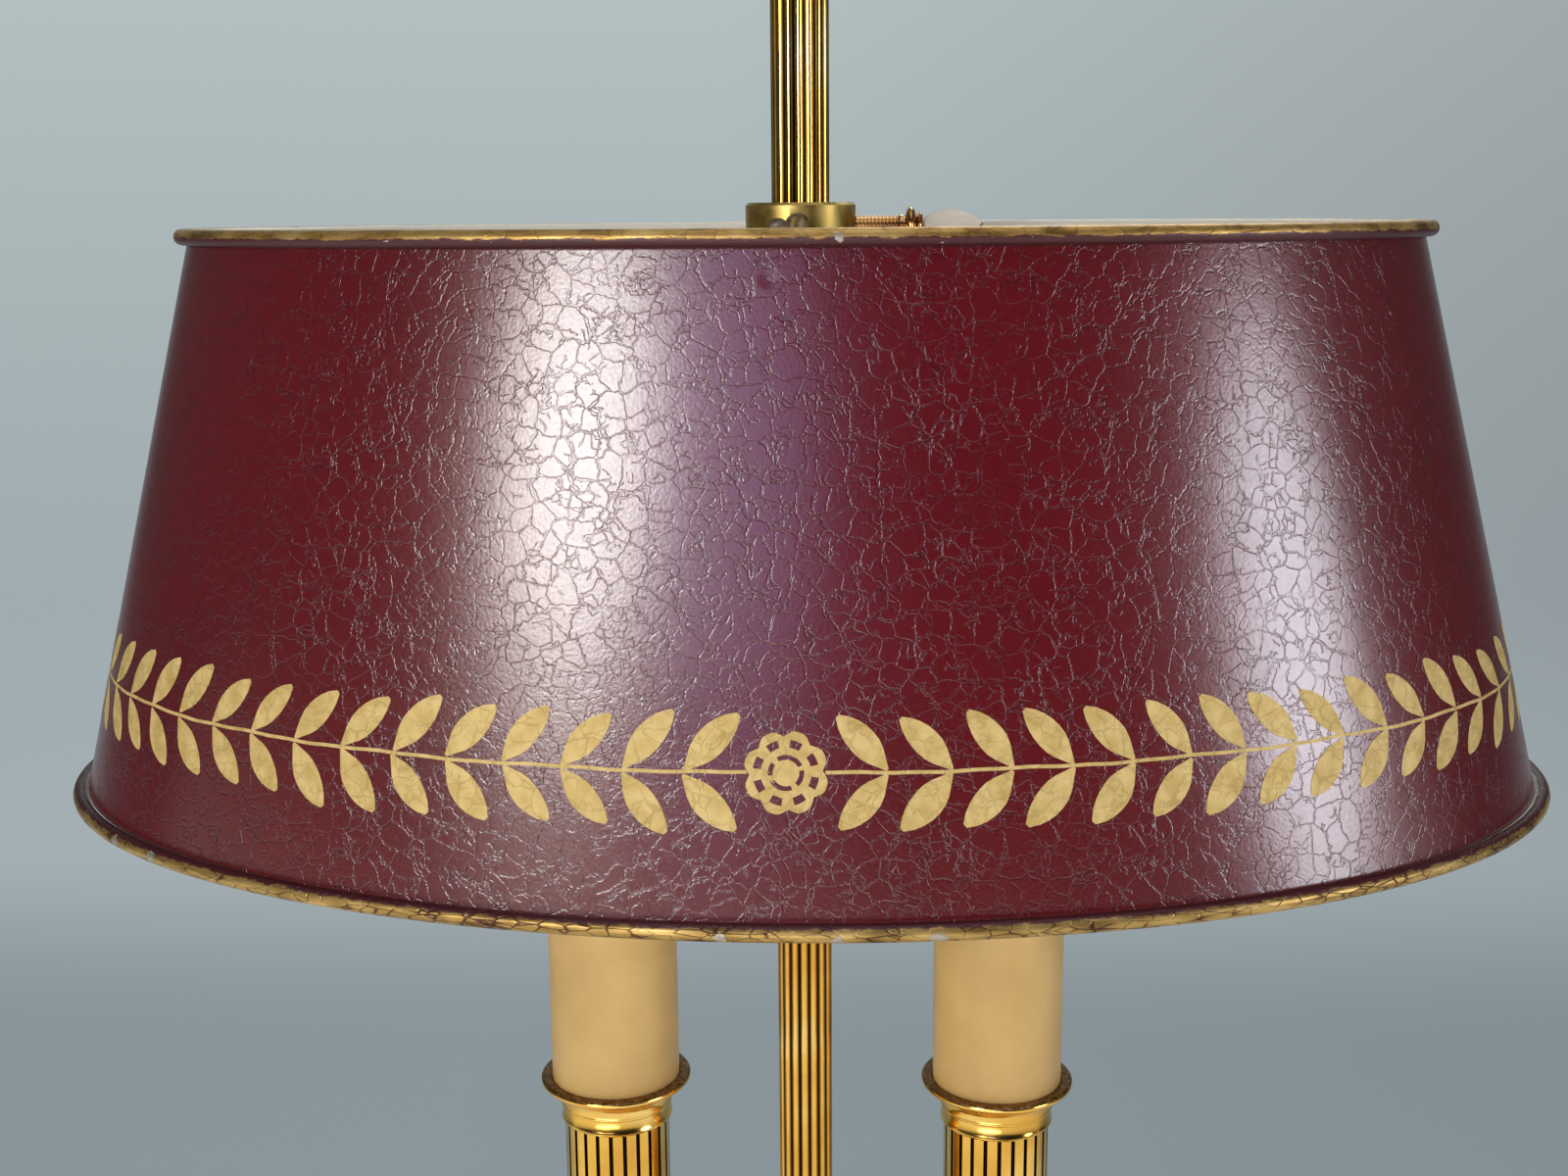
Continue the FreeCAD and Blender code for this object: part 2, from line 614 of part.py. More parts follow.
# Turned socle: a wide torus, a long hollow curve, a bead and a cap that takes the stem
def build_socle(hole):
    z = socle_low_z
    top = socle_top_z
    seat = stem_r + 0.05
    save("base_socle", turned([
        (hole, z), (band_r + 0.6, z), (band_r + 0.6, z + 1.2), (band_r - 1.6, z + 1.2), (band_r - 1.6, z + 6.2, 0.9),
        (band_r - 4.0, z + 6.2), (band_r - 5.0, z + 8.0, -0.3), (15.0, z + 23.0, -0.32), (13.2, z + 24.4),
        (13.2, z + 28.4, 0.95), (11.0, z + 29.2), (9.2, z + 36.0, -0.25), (10.6, top - 5.0, -0.2),
        (11.6, top - 4.4), (11.6, top - 1.0, 0.8), (9.4, top, -0.1), (seat, top), (seat, top - socle_seat),
        (hole, top - socle_seat)]))


# Finial: a turned seat that closes the stem, with the ring handle let into its top
def build_finial():
    z = stem_top_z
    top = z + finial_height
    seat = stem_r + 0.05
    socket = rod_r + rod_bore_clear
    ring = Part.makeTorus(ring_r, ring_wire_r, vec(0, 0, top + ring_r + ring_wire_r - ring_sink), vec(0, 1, 0))
    finial = turned([
        (seat, z), (finial_r - 1, z), (finial_r - 1, z + 3.0, 0.9), (finial_r - 2.6, z + 3.8),
        (finial_r - 3.4, z + 6.2, -0.3), (finial_r, z + 9.6, -0.1), (finial_r, z + 11.8, 0.9),
        (finial_r - 3.0, z + 12.8), (5.2, z + 17.0, -0.3), (6.6, z + 18.0), (6.6, z + 20.0, 0.8), (4.6, top, -0.1),
        (0, top), (0, z + finial_socket), (socket, z + finial_socket), (socket, z + 2), (seat, z + 2)])
    save("finial", finial.cut(ring))
    save("ring_handle", ring)


os.makedirs("parts", exist_ok=True)
build_shade()
build_candles()
build_hub()
build_switch()
build_base()
build_finial()
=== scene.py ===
import json
import math
import random
from functools import partial
import bpy
import numpy as np
from mathutils import Matrix, Vector


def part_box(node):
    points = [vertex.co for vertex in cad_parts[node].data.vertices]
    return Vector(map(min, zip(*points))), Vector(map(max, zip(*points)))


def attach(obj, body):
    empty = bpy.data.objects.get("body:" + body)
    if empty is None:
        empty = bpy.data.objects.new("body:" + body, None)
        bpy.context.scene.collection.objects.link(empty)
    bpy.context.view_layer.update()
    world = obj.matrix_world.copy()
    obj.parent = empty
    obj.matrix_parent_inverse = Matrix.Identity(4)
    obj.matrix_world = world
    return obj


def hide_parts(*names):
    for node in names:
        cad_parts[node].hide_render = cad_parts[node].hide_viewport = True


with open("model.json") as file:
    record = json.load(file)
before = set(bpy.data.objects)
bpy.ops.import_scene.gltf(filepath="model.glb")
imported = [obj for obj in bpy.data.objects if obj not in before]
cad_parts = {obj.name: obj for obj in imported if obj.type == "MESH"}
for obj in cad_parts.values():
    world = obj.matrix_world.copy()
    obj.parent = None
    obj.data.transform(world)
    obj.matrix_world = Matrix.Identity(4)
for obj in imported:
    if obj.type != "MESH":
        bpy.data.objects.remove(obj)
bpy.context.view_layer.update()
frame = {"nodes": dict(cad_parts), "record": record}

mm = 0.001
nodes = frame["nodes"]
bodyOf = {node: body for body, members in frame["record"]["behaviour"]["bodies"].items() for node in members}
slotOf = {part["node"]: part["material_slot"] for part in frame["record"]["subparts"]}
rng = random.Random(7)


# small tools for modelling

def clearSelection():
    if bpy.context.mode != "OBJECT":
        bpy.ops.object.mode_set(mode="OBJECT")
    bpy.ops.object.select_all(action="DESELECT")


def activate(obj):
    clearSelection()
    obj.select_set(True)
    bpy.context.view_layer.objects.active = obj
    return obj


def pick(obj, kind, test):
    # selects vertices, edges or faces by their place and goes into edit mode
    activate(obj)
    mesh = obj.data
    points = [v.co for v in mesh.vertices]
    groups = {"VERT": mesh.vertices, "EDGE": mesh.edges, "FACE": mesh.polygons}
    bpy.context.tool_settings.mesh_select_mode = [kind == name for name in groups]
    for group in groups.values():
        group.foreach_set("select", [False] * len(group))
    for item in groups[kind]:
        members = [item.index] if kind == "VERT" else list(item.vertices)
        middle = sum((points[k] for k in members), Vector()) / len(members)
        item.select = bool(test(middle, item))
    bpy.ops.object.mode_set(mode="EDIT")


def backToObject():
    bpy.ops.object.mode_set(mode="OBJECT")


def editAll(obj):
    activate(obj)
    bpy.ops.object.mode_set(mode="EDIT")
    bpy.ops.mesh.select_all(action="SELECT")


def scaleAbout(x, y, centre=(0, 0, 0)):
    bpy.ops.transform.resize(value=(x, y, 1), center_override=centre)


def applyModifier(obj, kind, settings):
    activate(obj)
    modifier = obj.modifiers.new(kind.lower(), kind)
    for name, value in settings.items():
        setattr(modifier, name, value)
    bpy.ops.object.modifier_apply(modifier=modifier.name)


def drawLine(points):
    # an open line of edges, drawn point after point
    clearSelection()
    bpy.context.tool_settings.mesh_select_mode = (True, False, False)
    bpy.ops.mesh.primitive_plane_add(size=mm, location=points[0])
    line = bpy.context.object
    editAll(line)
    bpy.ops.mesh.merge(type="CENTER")
    for before, after in zip(points, points[1:]):
        step = Vector(after) - Vector(before)
        bpy.ops.mesh.extrude_region_move(TRANSFORM_OT_translate={"value": tuple(step)})
    backToObject()
    return line


def applyPlace(obj):
    activate(obj)
    bpy.ops.object.transform_apply(location=True, rotation=True, scale=True)


def spinProfile(line, centre, axis, steps):
    # one full turn of a drawn line, with its seam and poles closed and its faces outwards
    applyPlace(line)
    editAll(line)
    bpy.ops.mesh.spin(steps=steps, angle=2 * math.pi, center=centre, axis=axis)
    bpy.ops.mesh.select_all(action="SELECT")
    bpy.ops.mesh.remove_doubles(threshold=0.003 * mm)
    bpy.ops.mesh.normals_make_consistent(inside=False)
    backToObject()


def joinPieces(pieces):
    activate(pieces[0])
    for piece in pieces:
        piece.select_set(True)
    bpy.ops.object.join()
    return bpy.context.object


def addCopy(name, source):
    obj = bpy.data.objects.new(name, source.data.copy())
    bpy.context.scene.collection.objects.link(obj)
    return obj


def finishPiece(obj, name, body, material, replaced=(), angle=30):
    applyPlace(obj)
    obj.name = obj.data.name = name
    if material and not obj.data.materials:
        obj.data.materials.append(material)
    bpy.ops.object.shade_smooth_by_angle(angle=math.radians(angle))
    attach(obj, body)
    if replaced:
        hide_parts(*replaced)
    return obj


# how a CAD node is smoothed: lengths in mm, angles in degrees
ease = {"merge": 0.002, "flat": 0.4, "corner": 50, "segments": 3}


def smoothCopy(node, material, bevel=0.0, angle=30):
    # a CAD node's own shape with merged triangles, eased edges and smooth normals
    obj = addCopy(node + "Finished", nodes[node])
    obj.data.materials.clear()
    activate(obj)
    if obj.data.has_custom_normals:
        bpy.ops.mesh.customdata_custom_splitnormals_clear()
    editAll(obj)
    bpy.ops.mesh.remove_doubles(threshold=ease["merge"] * mm)
    bpy.ops.mesh.dissolve_limited(angle_limit=math.radians(ease["flat"]))
    backToObject()
    if bevel:
        applyModifier(obj, "BEVEL", {"width": bevel * mm, "segments": ease["segments"], "limit_method": "ANGLE",
                                     "angle_limit": math.radians(ease["corner"]), "use_clamp_overlap": True})
    return finishPiece(obj, node + "Finished", bodyOf[node], material, (node,), angle)


# small tools for materials

def linear(hexText, alpha=1.0):
    values = [int(hexText[k:k + 2], 16) / 255 for k in (1, 3, 5)]
    return tuple(v / 12.92 if v <= 0.04045 else ((v + 0.055) / 1.055) ** 2.4 for v in values) + (alpha,)


def plug(node, links):
    for name, socket in links.items():
        node.id_data.links.new(socket, node.inputs[name])


def addNode(tree, kind, settings={}, links={}):
    node = tree.nodes.new(kind)
    for name, value in settings.items():
        if name == "stops":        # of a colour ramp
            while len(node.color_ramp.elements) < len(value):
                node.color_ramp.elements.new(0.5)
            for element, (place, shade) in zip(node.color_ramp.elements, value):
                element.position, element.color = place, linear(shade)
        elif name in ("from", "to"):        # the two ends of a range
            for end, number in zip(("Min", "Max"), value):
                node.inputs[f"{name.title()} {end}"].default_value = number
        elif isinstance(name, int) or name in node.inputs:
            node.inputs[name].default_value = linear(value) if isinstance(value, str) else value
        else:
            setattr(node, name, value)
    plug(node, links)
    return node


def millimetres(add):
    # where a point is on the piece, in millimetres, for every pattern
    coords = add("ShaderNodeTexCoord")
    return add("ShaderNodeVectorMath", {"operation": "SCALE", "Scale": 1 / mm},
               {0: coords.outputs["Object"]}).outputs[0]


def newMaterial(name, settings):
    material = bpy.data.materials.new(name)
    material.use_nodes = True
    material.node_tree.nodes.clear()
    add = partial(addNode, material.node_tree)
    shader = add("ShaderNodeBsdfPrincipled", settings)
    add("ShaderNodeOutputMaterial", {}, {"Surface": shader.outputs[0]})
    return material, add, shader, millimetres(add)


# Crackle of the lacquer in mm: plates of 4 to 5, split by shorter cracks, which fade over patches of the sheet
crackle = {"plate": 4.4, "split": 2.5, "fade": 1.2, "coreHalf": 0.03, "lineHalf": 0.20, "sway": 2.6, "swayFine": 0.9}


def makeCrackle():
    tree = bpy.data.node_groups.new("lacquerCrackle", "ShaderNodeTree")
    add = partial(addNode, tree)
    for name in ("Crack", "Plate"):
        tree.interface.new_socket(name, in_out="OUTPUT", socket_type="NodeSocketFloat")
    place = millimetres(add)
    for push, scale, detail in ((crackle["sway"], 0.22, 1.0), (crackle["swayFine"], 1.25, 2.0)):
        sway = add("ShaderNodeTexNoise", {"Scale": scale, "Detail": detail}, {"Vector": place})
        place = add("ShaderNodeVectorMath", {"operation": "MULTIPLY_ADD", 1: [push] * 3},
                    {0: sway.outputs["Color"], 2: place}).outputs[0]
    lines = []
    for size, reach in ((crackle["plate"], 0.0), (crackle["split"], crackle["fade"])):
        cells = add("ShaderNodeTexVoronoi", {"feature": "DISTANCE_TO_EDGE", "Scale": 1 / size}, {"Vector": place})
        gone = add("ShaderNodeTexNoise", {"Scale": 0.26, "Detail": 1.0}, {"Vector": place})
        fade = add("ShaderNodeMapRange", {"from": (0.46, 0.60), "to": (0, reach)}, {"Value": gone.outputs[0]})
        gap = add("ShaderNodeMath", {"operation": "MULTIPLY_ADD", 1: size},
                  {0: cells.outputs["Distance"], 2: fade.outputs[0]})
        lines.append(add("ShaderNodeMapRange",
                         {"interpolation_type": "SMOOTHSTEP", "from": (crackle["coreHalf"], crackle["lineHalf"]),
                          "to": (1, 0)}, {"Value": gap.outputs[0]}))
    both = add("ShaderNodeMath", {"operation": "MAXIMUM"}, {0: lines[0].outputs[0], 1: lines[1].outputs[0]})
    worn = add("ShaderNodeTexNoise", {"Scale": 0.12, "Detail": 3.0}, {"Vector": place})
    force = add("ShaderNodeMapRange", {"from": (0.35, 0.65), "to": (0.45, 1)}, {"Value": worn.outputs[0]})
    both = add("ShaderNodeMath", {"operation": "MULTIPLY"}, {0: both.outputs[0], 1: force.outputs[0]})
    tint = add("ShaderNodeTexVoronoi", {"feature": "F1", "Scale": 1 / crackle["plate"]}, {"Vector": place})
    grey = add("ShaderNodeSeparateColor", {}, {0: tint.outputs["Color"]})
    add("NodeGroupOutput", {}, {"Crack": both.outputs[0], "Plate": grey.outputs[0]})
    return tree


crackleTree = makeCrackle()


# Burgundy nitro lacquer over a crackle coat, sprayed on sheet iron and waxed: a satin sheen, broken by a
# net of fine shrinkage cracks whose flanks catch or lose the light
lacquer = {"deep": "#500911", "warm": "#630C13", "plate": "#570A12", "crackBottom": "#380810", "speck": "#160606",
           "speckStep": 13, "roughness": 0.22, "crackDepth": 0.038, "dent": (-3.0, -88.5, 443.5), "dentDepth": 0.35}


def makeLacquer():
    material, add, shader, place = newMaterial("burgundyCrackleLacquer", {"IOR": 1.5, "Specular IOR Level": 0.9})
    net = add("ShaderNodeGroup", {"node_tree": crackleTree})
    broad = add("ShaderNodeTexNoise", {"Scale": 0.018, "Detail": 3.0}, {"Vector": place})
    base = add("ShaderNodeMix", {"data_type": "RGBA", 6: lacquer["deep"], 7: lacquer["warm"]}, {0: broad.outputs[0]})
    plate = add("ShaderNodeMapRange", {"to": (0, 0.22)}, {"Value": net.outputs["Plate"]})
    crack = add("ShaderNodeMath", {"operation": "MULTIPLY", 1: 0.55}, {0: net.outputs["Crack"]})
    specks = add("ShaderNodeTexVoronoi", {"Scale": 1 / lacquer["speckStep"]}, {"Vector": place})
    dots = add("ShaderNodeMapRange", {"from": (0.026, 0.036), "to": (1, 0)}, {"Value": specks.outputs["Distance"]})
    # each plate has its own tint, the cracks are dark, and a few fly specks of half a millimetre lie on top
    for share, shade in ((plate, "plate"), (crack, "crackBottom"), (dots, "speck")):
        base = add("ShaderNodeMix", {"data_type": "RGBA", 7: lacquer[shade]}, {0: share.outputs[0], 6: base.outputs[2]})
    grain = add("ShaderNodeTexNoise", {"Scale": 1.5, "Detail": 4.0}, {"Vector": place})
    rough = add("ShaderNodeMapRange", {"to": (lacquer["roughness"] - 0.05, lacquer["roughness"] + 0.08)},
                {"Value": grain.outputs[0]})
    # one small knock below the top rim, as deep as a fingernail
    knock = add("ShaderNodeVectorMath", {"operation": "DISTANCE", 1: lacquer["dent"]}, {0: place})
    hollow = add("ShaderNodeMapRange", {"interpolation_type": "SMOOTHSTEP", "from": (0.2, 3.4)},
                 {"Value": knock.outputs["Value"]})
    dent = add("ShaderNodeBump", {"Strength": 1.0, "Distance": lacquer["dentDepth"] * mm},
               {"Height": hollow.outputs[0]})
    waves = add("ShaderNodeBump", {"Strength": 0.6, "Distance": 0.05 * mm},
                {"Height": grain.outputs[0], "Normal": dent.outputs[0]})
    cracks = add("ShaderNodeBump", {"Strength": 1.0, "Distance": lacquer["crackDepth"] * mm, "invert": True},
                 {"Height": net.outputs["Crack"], "Normal": waves.outputs[0]})
    plug(shader, {"Base Color": base.outputs[2], "Roughness": rough.outputs[0], "Normal": cracks.outputs[0]})
    return material


# Bronze-powder gold paint, stamped over the lacquer: soft, pale and nearly matt, with the crackle showing through
paint = {"dark": "#C2A562", "light": "#D8BD7D", "inCrack": "#8A7036", "metallic": 0.12, "roughness": (0.5, 0.68)}


def makeStampedGold():
    settings = {"Metallic": paint["metallic"], "IOR": 1.45, "Specular IOR Level": 0.3}
    material, add, shader, place = newMaterial("stampedBronzePaint", settings)
    net = add("ShaderNodeGroup", {"node_tree": crackleTree})
    cloud = add("ShaderNodeTexNoise", {"Scale": 0.35, "Detail": 4.0}, {"Vector": place})
    base = add("ShaderNodeValToRGB", {"stops": [(0.35, paint["dark"]), (0.65, paint["light"])]}, {0: cloud.outputs[0]})
    dim = add("ShaderNodeMath", {"operation": "MULTIPLY", 1: 0.4}, {0: net.outputs["Crack"]})
    base = add("ShaderNodeMix", {"data_type": "RGBA", 7: paint["inCrack"]}, {0: dim.outputs[0], 6: base.outputs[0]})
    rough = add("ShaderNodeMapRange", {"to": paint["roughness"]}, {"Value": cloud.outputs[0]})
    bump = add("ShaderNodeBump", {"Strength": 0.8, "Distance": 0.05 * mm, "invert": True},
               {"Height": net.outputs["Crack"]})
    plug(shader, {"Base Color": base.outputs[2], "Roughness": rough.outputs[0], "Normal": bump.outputs[0]})
    return material


# Rubbed antique gold on the rolled rims: gold where the hand wiped it, lacquer elsewhere, cracked along the
# bead, chipped to bare tin, and the inside enamel run up over its inner half. On the top bead the lacquer-dark lower
# half is partly its paint and partly a painted shadow under the bead
rubbed = {"lacquer": "#3F0A13", "crack": "#3A1512", "tin": "#ADA596", "enamel": "#DDD7C4", "stretch": (0.3, 0.3, 1.0),
          "edgeSway": 1.8, "chipSway": 3.4, "enamelEdge": (0.9965, 0.9985)}


def makeRimGold(name, values):
    material, add, shader, place = newMaterial(name, {"IOR": 1.5})
    parts = add("ShaderNodeSeparateXYZ", {}, {0: place})
    drawn = add("ShaderNodeVectorMath", {"operation": "MULTIPLY", 1: rubbed["stretch"]}, {0: place}).outputs[0]
    ragged = add("ShaderNodeTexNoise", {"Scale": 0.9, "Detail": 5.0, "Roughness": 0.7}, {"Vector": drawn})
    edge = add("ShaderNodeMath", {"operation": "MULTIPLY_ADD", 1: rubbed["edgeSway"]},
               {0: ragged.outputs[0], 2: parts.outputs["Z"]})
    gilt = add("ShaderNodeMapRange", {"from": [z + rubbed["edgeSway"] / 2 for z in values["edge"]]},
               {"Value": edge.outputs[0]})
    flow = add("ShaderNodeTexNoise", {"Scale": 0.35, "Detail": 5.0}, {"Vector": drawn})
    gold = add("ShaderNodeValToRGB", {"stops": list(zip((0.30, 0.48, 0.7), values["tones"]))}, {0: flow.outputs[0]})
    cracks = add("ShaderNodeTexVoronoi", {"feature": "DISTANCE_TO_EDGE", "Scale": 0.75}, {"Vector": drawn})
    broken = add("ShaderNodeMath", {"operation": "MULTIPLY_ADD", 1: 0.22},
                 {0: flow.outputs[0], 2: cracks.outputs["Distance"]})
    crackLine = add("ShaderNodeMapRange", {"from": (0.11, 0.17), "to": (values["wear"], 0)},
                    {"Value": broken.outputs[0]})
    gold = add("ShaderNodeMix", {"data_type": "RGBA", 7: rubbed["crack"]},
               {0: crackLine.outputs[0], 6: gold.outputs[0]})
    base = add("ShaderNodeMix", {"data_type": "RGBA", 6: rubbed["lacquer"]}, {0: gilt.outputs[0], 7: gold.outputs[2]})
    # chips to the bare metal, long and ragged, and a few small ones anywhere
    spots = add("ShaderNodeTexNoise", {"Scale": 1.3, "Detail": 4.0, "Roughness": 0.65}, {"Vector": drawn})
    chips = add("ShaderNodeMapRange", {"from": (0.70, 0.72)}, {"Value": spots.outputs[0]}).outputs[0]
    for spot, size in values["chips"]:
        away = add("ShaderNodeVectorMath", {"operation": "DISTANCE", 1: spot}, {0: place})
        uneven = add("ShaderNodeMath", {"operation": "MULTIPLY_ADD", 1: rubbed["chipSway"]},
                     {0: spots.outputs[0], 2: away.outputs["Value"]})
        bare = add("ShaderNodeMapRange", {"from": (size + 1.6, size + 1.75), "to": (1, 0)},
                   {"Value": uneven.outputs[0]})
        chips = add("ShaderNodeMath", {"operation": "MAXIMUM"}, {0: bare.outputs[0], 1: chips}).outputs[0]
    base = add("ShaderNodeMix", {"data_type": "RGBA", 7: rubbed["tin"]}, {0: chips, 6: base.outputs[2]})
    # how far out from the stem a point is, where 1 is the oval along the middle of the wire
    halfX, halfY = values["halves"]
    oval = add("ShaderNodeVectorMath", {"operation": "MULTIPLY", 1: (1 / halfX, 1 / halfY, 0)}, {0: place})
    reach = add("ShaderNodeVectorMath", {"operation": "LENGTH"}, {0: oval.outputs[0]})
    within = add("ShaderNodeMath", {"operation": "MULTIPLY_ADD", 1: 0.006},
                 {0: ragged.outputs[0], 2: reach.outputs["Value"]})
    enamel = add("ShaderNodeMapRange", {"from": rubbed["enamelEdge"], "to": (1, 0)}, {"Value": within.outputs[0]})
    base = add("ShaderNodeMix", {"data_type": "RGBA", 7: rubbed["enamel"]}, {0: enamel.outputs[0], 6: base.outputs[2]})
    outside = add("ShaderNodeMath", {"operation": "SUBTRACT", 0: 1.0}, {1: enamel.outputs[0]})
    metal = add("ShaderNodeMath", {"operation": "MULTIPLY", 1: 0.7}, {0: gilt.outputs[0]})
    metal = add("ShaderNodeMath", {"operation": "MULTIPLY"}, {0: metal.outputs[0], 1: outside.outputs[0]})
    rough = add("ShaderNodeMapRange", {"to": (0.28, 0.5)}, {"Value": ragged.outputs[0]})
    height = add("ShaderNodeMath", {"operation": "ADD"}, {0: crackLine.outputs[0], 1: chips})
    bump = add("ShaderNodeBump", {"Strength": 0.8, "Distance": 0.10 * mm, "invert": True},
               {"Height": height.outputs[0]})
    plug(shader, {"Base Color": base.outputs[2], "Metallic": metal.outputs[0], "Roughness": rough.outputs[0],
                  "Normal": bump.outputs[0]})
    return material


# Brass, turned and buffed, then clear lacquered: mirror bright on the lands, brown tarnish where the buff
# can't reach, and a little haze. A groove gives the axis's X and the radii where the tarnish ends and is full
brass = {"tones": ("#CF9A42", "#E3B354", "#F0CC7E"), "gloss": 0.08, "haze": 0.20, "cloud": 0.06, "grit": 2.4,
         "relief": 0.15, "depth": 0.02}


def makeBrass(name, values):
    values = {**brass, **values}
    material, add, shader, place = newMaterial(name, {"Metallic": 1.0})
    cloud = add("ShaderNodeTexNoise", {"Scale": values["cloud"], "Detail": 4.0}, {"Vector": place})
    colour = add("ShaderNodeValToRGB", {"stops": list(zip((0.32, 0.55, 0.75), values["tones"]))},
                 {0: cloud.outputs[0]}).outputs[0]
    fine = add("ShaderNodeTexNoise", {"Scale": values["grit"], "Detail": 3.0}, {"Vector": place})
    rough = add("ShaderNodeMapRange", {"from": (0.3, 0.7), "to": (values["gloss"], values["haze"])},
                {"Value": cloud.outputs[0]}).outputs[0]
    if "groove" in values:
        axisX, outer, inner = values["groove"]
        flat = add("ShaderNodeVectorMath", {"operation": "ABSOLUTE"}, {0: place})
        flat = add("ShaderNodeVectorMath", {"operation": "SUBTRACT", 1: (axisX, 0, 0)}, {0: flat.outputs[0]})
        flat = add("ShaderNodeVectorMath", {"operation": "MULTIPLY", 1: (1, 1, 0)}, {0: flat.outputs[0]})
        radius = add("ShaderNodeVectorMath", {"operation": "LENGTH"}, {0: flat.outputs[0]})
        dirt = add("ShaderNodeMapRange", {"from": (inner, outer), "to": (1, 0)}, {"Value": radius.outputs["Value"]})
        colour = add("ShaderNodeMix", {"data_type": "RGBA", 7: values["grooveShade"]},
                     {0: dirt.outputs[0], 6: colour}).outputs[2]
        rough = add("ShaderNodeMath", {"operation": "MULTIPLY_ADD", 1: 0.35}, {0: dirt.outputs[0], 2: rough}).outputs[0]
    bump = add("ShaderNodeBump", {"Strength": values["relief"], "Distance": values["depth"] * mm},
               {"Height": fine.outputs[0]})
    plug(shader, {"Base Color": colour, "Roughness": rough, "Normal": bump.outputs[0]})
    return material


# Plain surfaces with a two-tone cloud and a grain: enamelled, cast, moulded, plated or woven
def makePlain(name, values, settings):
    material, add, shader, place = newMaterial(name, settings)
    cloud = add("ShaderNodeTexNoise", {"Scale": values["cloud"], "Detail": 4.0}, {"Vector": place})
    base = add("ShaderNodeValToRGB", {"stops": list(zip((0.3, 0.7), values["tones"]))}, {0: cloud.outputs[0]})
    if "rough" in values:
        rough = add("ShaderNodeMapRange", {"from": (0.3, 0.7), "to": values["rough"]}, {"Value": cloud.outputs[0]})
        plug(shader, {"Roughness": rough.outputs[0]})
    grain = add("ShaderNodeTexNoise", {"Scale": values["grain"], "Detail": values.get("grainDetail", 4.0)},
                {"Vector": place})
    bump = add("ShaderNodeBump", {"Strength": values["relief"], "Distance": values["depth"] * mm},
               {"Height": grain.outputs[0]})
    plug(shader, {"Base Color": base.outputs[0], "Normal": bump.outputs[0]})
    return material


def middleZ(node):
    low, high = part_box(node)
    return (low.z + high.z) / 2 / mm


topRimZ, lowRimZ = middleZ("rim_wire_top"), middleZ("rim_wire_bottom")
burgundy = makeLacquer()
stampedGold = makeStampedGold()
# stoving enamel inside the shade: warm white, yellowed by the bulbs' heat
cream = makePlain("creamEnamel", {
    "tones": ("#D8CBA8", "#E9E1C8"), "cloud": 0.03, "grain": 1.4, "grainDetail": 3.0, "relief": 0.4, "depth": 0.04},
    {"IOR": 1.5, "Roughness": 0.42})
# painted shade: the top bead is gold only above its middle, and its lower half is lacquer dark, partly real paint and
# partly a painted shadow
rimTopGold = makeRimGold("rubbedGoldTopRim", {
    "edge": (topRimZ - 0.15, topRimZ + 0.15), "tones": ("#7A5A2A", "#B08C4A", "#D0AE6C"), "wear": 0.35,
    "halves": (133.4, 86.4), "chips": [((9.3, -87.9, topRimZ + 0.2), 0.9)]})
rimLowGold = makeRimGold("wornGoldLowRim", {
    "edge": (lowRimZ + 1.25, lowRimZ + 0.85), "tones": ("#6E5428", "#A48548", "#C6A766"), "wear": 0.9,
    "halves": (163.4, 106.0), "chips": [
        ((-138.4, -59.0, lowRimZ), 1.3), ((-127.6, -68.8, lowRimZ - 0.2), 1.5), ((9.2, -107.2, lowRimZ - 1.5), 1.3),
        ((26.8, -106.2, lowRimZ - 1.3), 1.9), ((-11.5, -107.4, lowRimZ - 0.4), 1.0)]})
polished = makeBrass("polishedTurnedBrass", {})
# the valleys of drawn reeds and flutes are near black, which draws each rib as a bright line
stemBrass = makeBrass("reededTubeBrass", {"haze": 0.16, "groove": (0, 6.12, 5.8), "grooveShade": "#2A1A08"})
columnBrass = makeBrass("flutedColumnBrass", {"groove": (45.3, 12.3, 12.0), "grooveShade": "#1E1206"})
# brushed and worn by hands: no mirror, a soft glow
collarBrass = makeBrass("satinCollarBrass", {
    "tones": ("#8C7338", "#B39A56", "#C6AE6E"), "gloss": 0.30, "haze": 0.46, "cloud": 0.25, "grit": 3.0,
    "relief": 0.4})
# sand-cast and left rough, so the face glitters in grains
capitalTop = makeBrass("castCapitalFace", {
    "tones": ("#4E3518", "#8A6838", "#B8966A"), "gloss": 0.35, "haze": 0.6, "cloud": 1.1, "grit": 1.0, "relief": 1.0,
    "depth": 0.35})
screwBrass = makeBrass("cutScrewBrass", {"tones": ("#B98A52", "#DDB478", "#F0D3A4"), "gloss": 0.16, "haze": 0.28})
# oxide from the brazing torch takes the gloss off arms, lumps and leaf
armBrass = makeBrass("brazeTintedArms", {
    "tones": ("#5A4A2E", "#857048", "#A08C62"), "gloss": 0.34, "haze": 0.5, "cloud": 0.25, "relief": 0.4})
leafMetal = makePlain("dullPatinatedLeaf", {
    "tones": ("#A39683", "#BDB09C"), "cloud": 0.3, "rough": (0.45, 0.6), "grain": 2.0, "relief": 0.4, "depth": 0.04},
    {"Metallic": 0.35})
solder = makePlain("greySolder", {
    "tones": ("#4A4232", "#8A7F68"), "cloud": 0.9, "rough": (0.35, 0.6), "grain": 1.6, "relief": 0.9, "depth": 0.15},
    {"Metallic": 0.7})
# cast resin: a broad, soft highlight on warm ivory
ivory = makePlain("agedIvoryTube", {
    "tones": ("#C29D5F", "#DAB673"), "cloud": 0.05, "rough": (0.36, 0.5), "grain": 0.7, "relief": 0.35,
    "depth": 0.06}, {"IOR": 1.49})
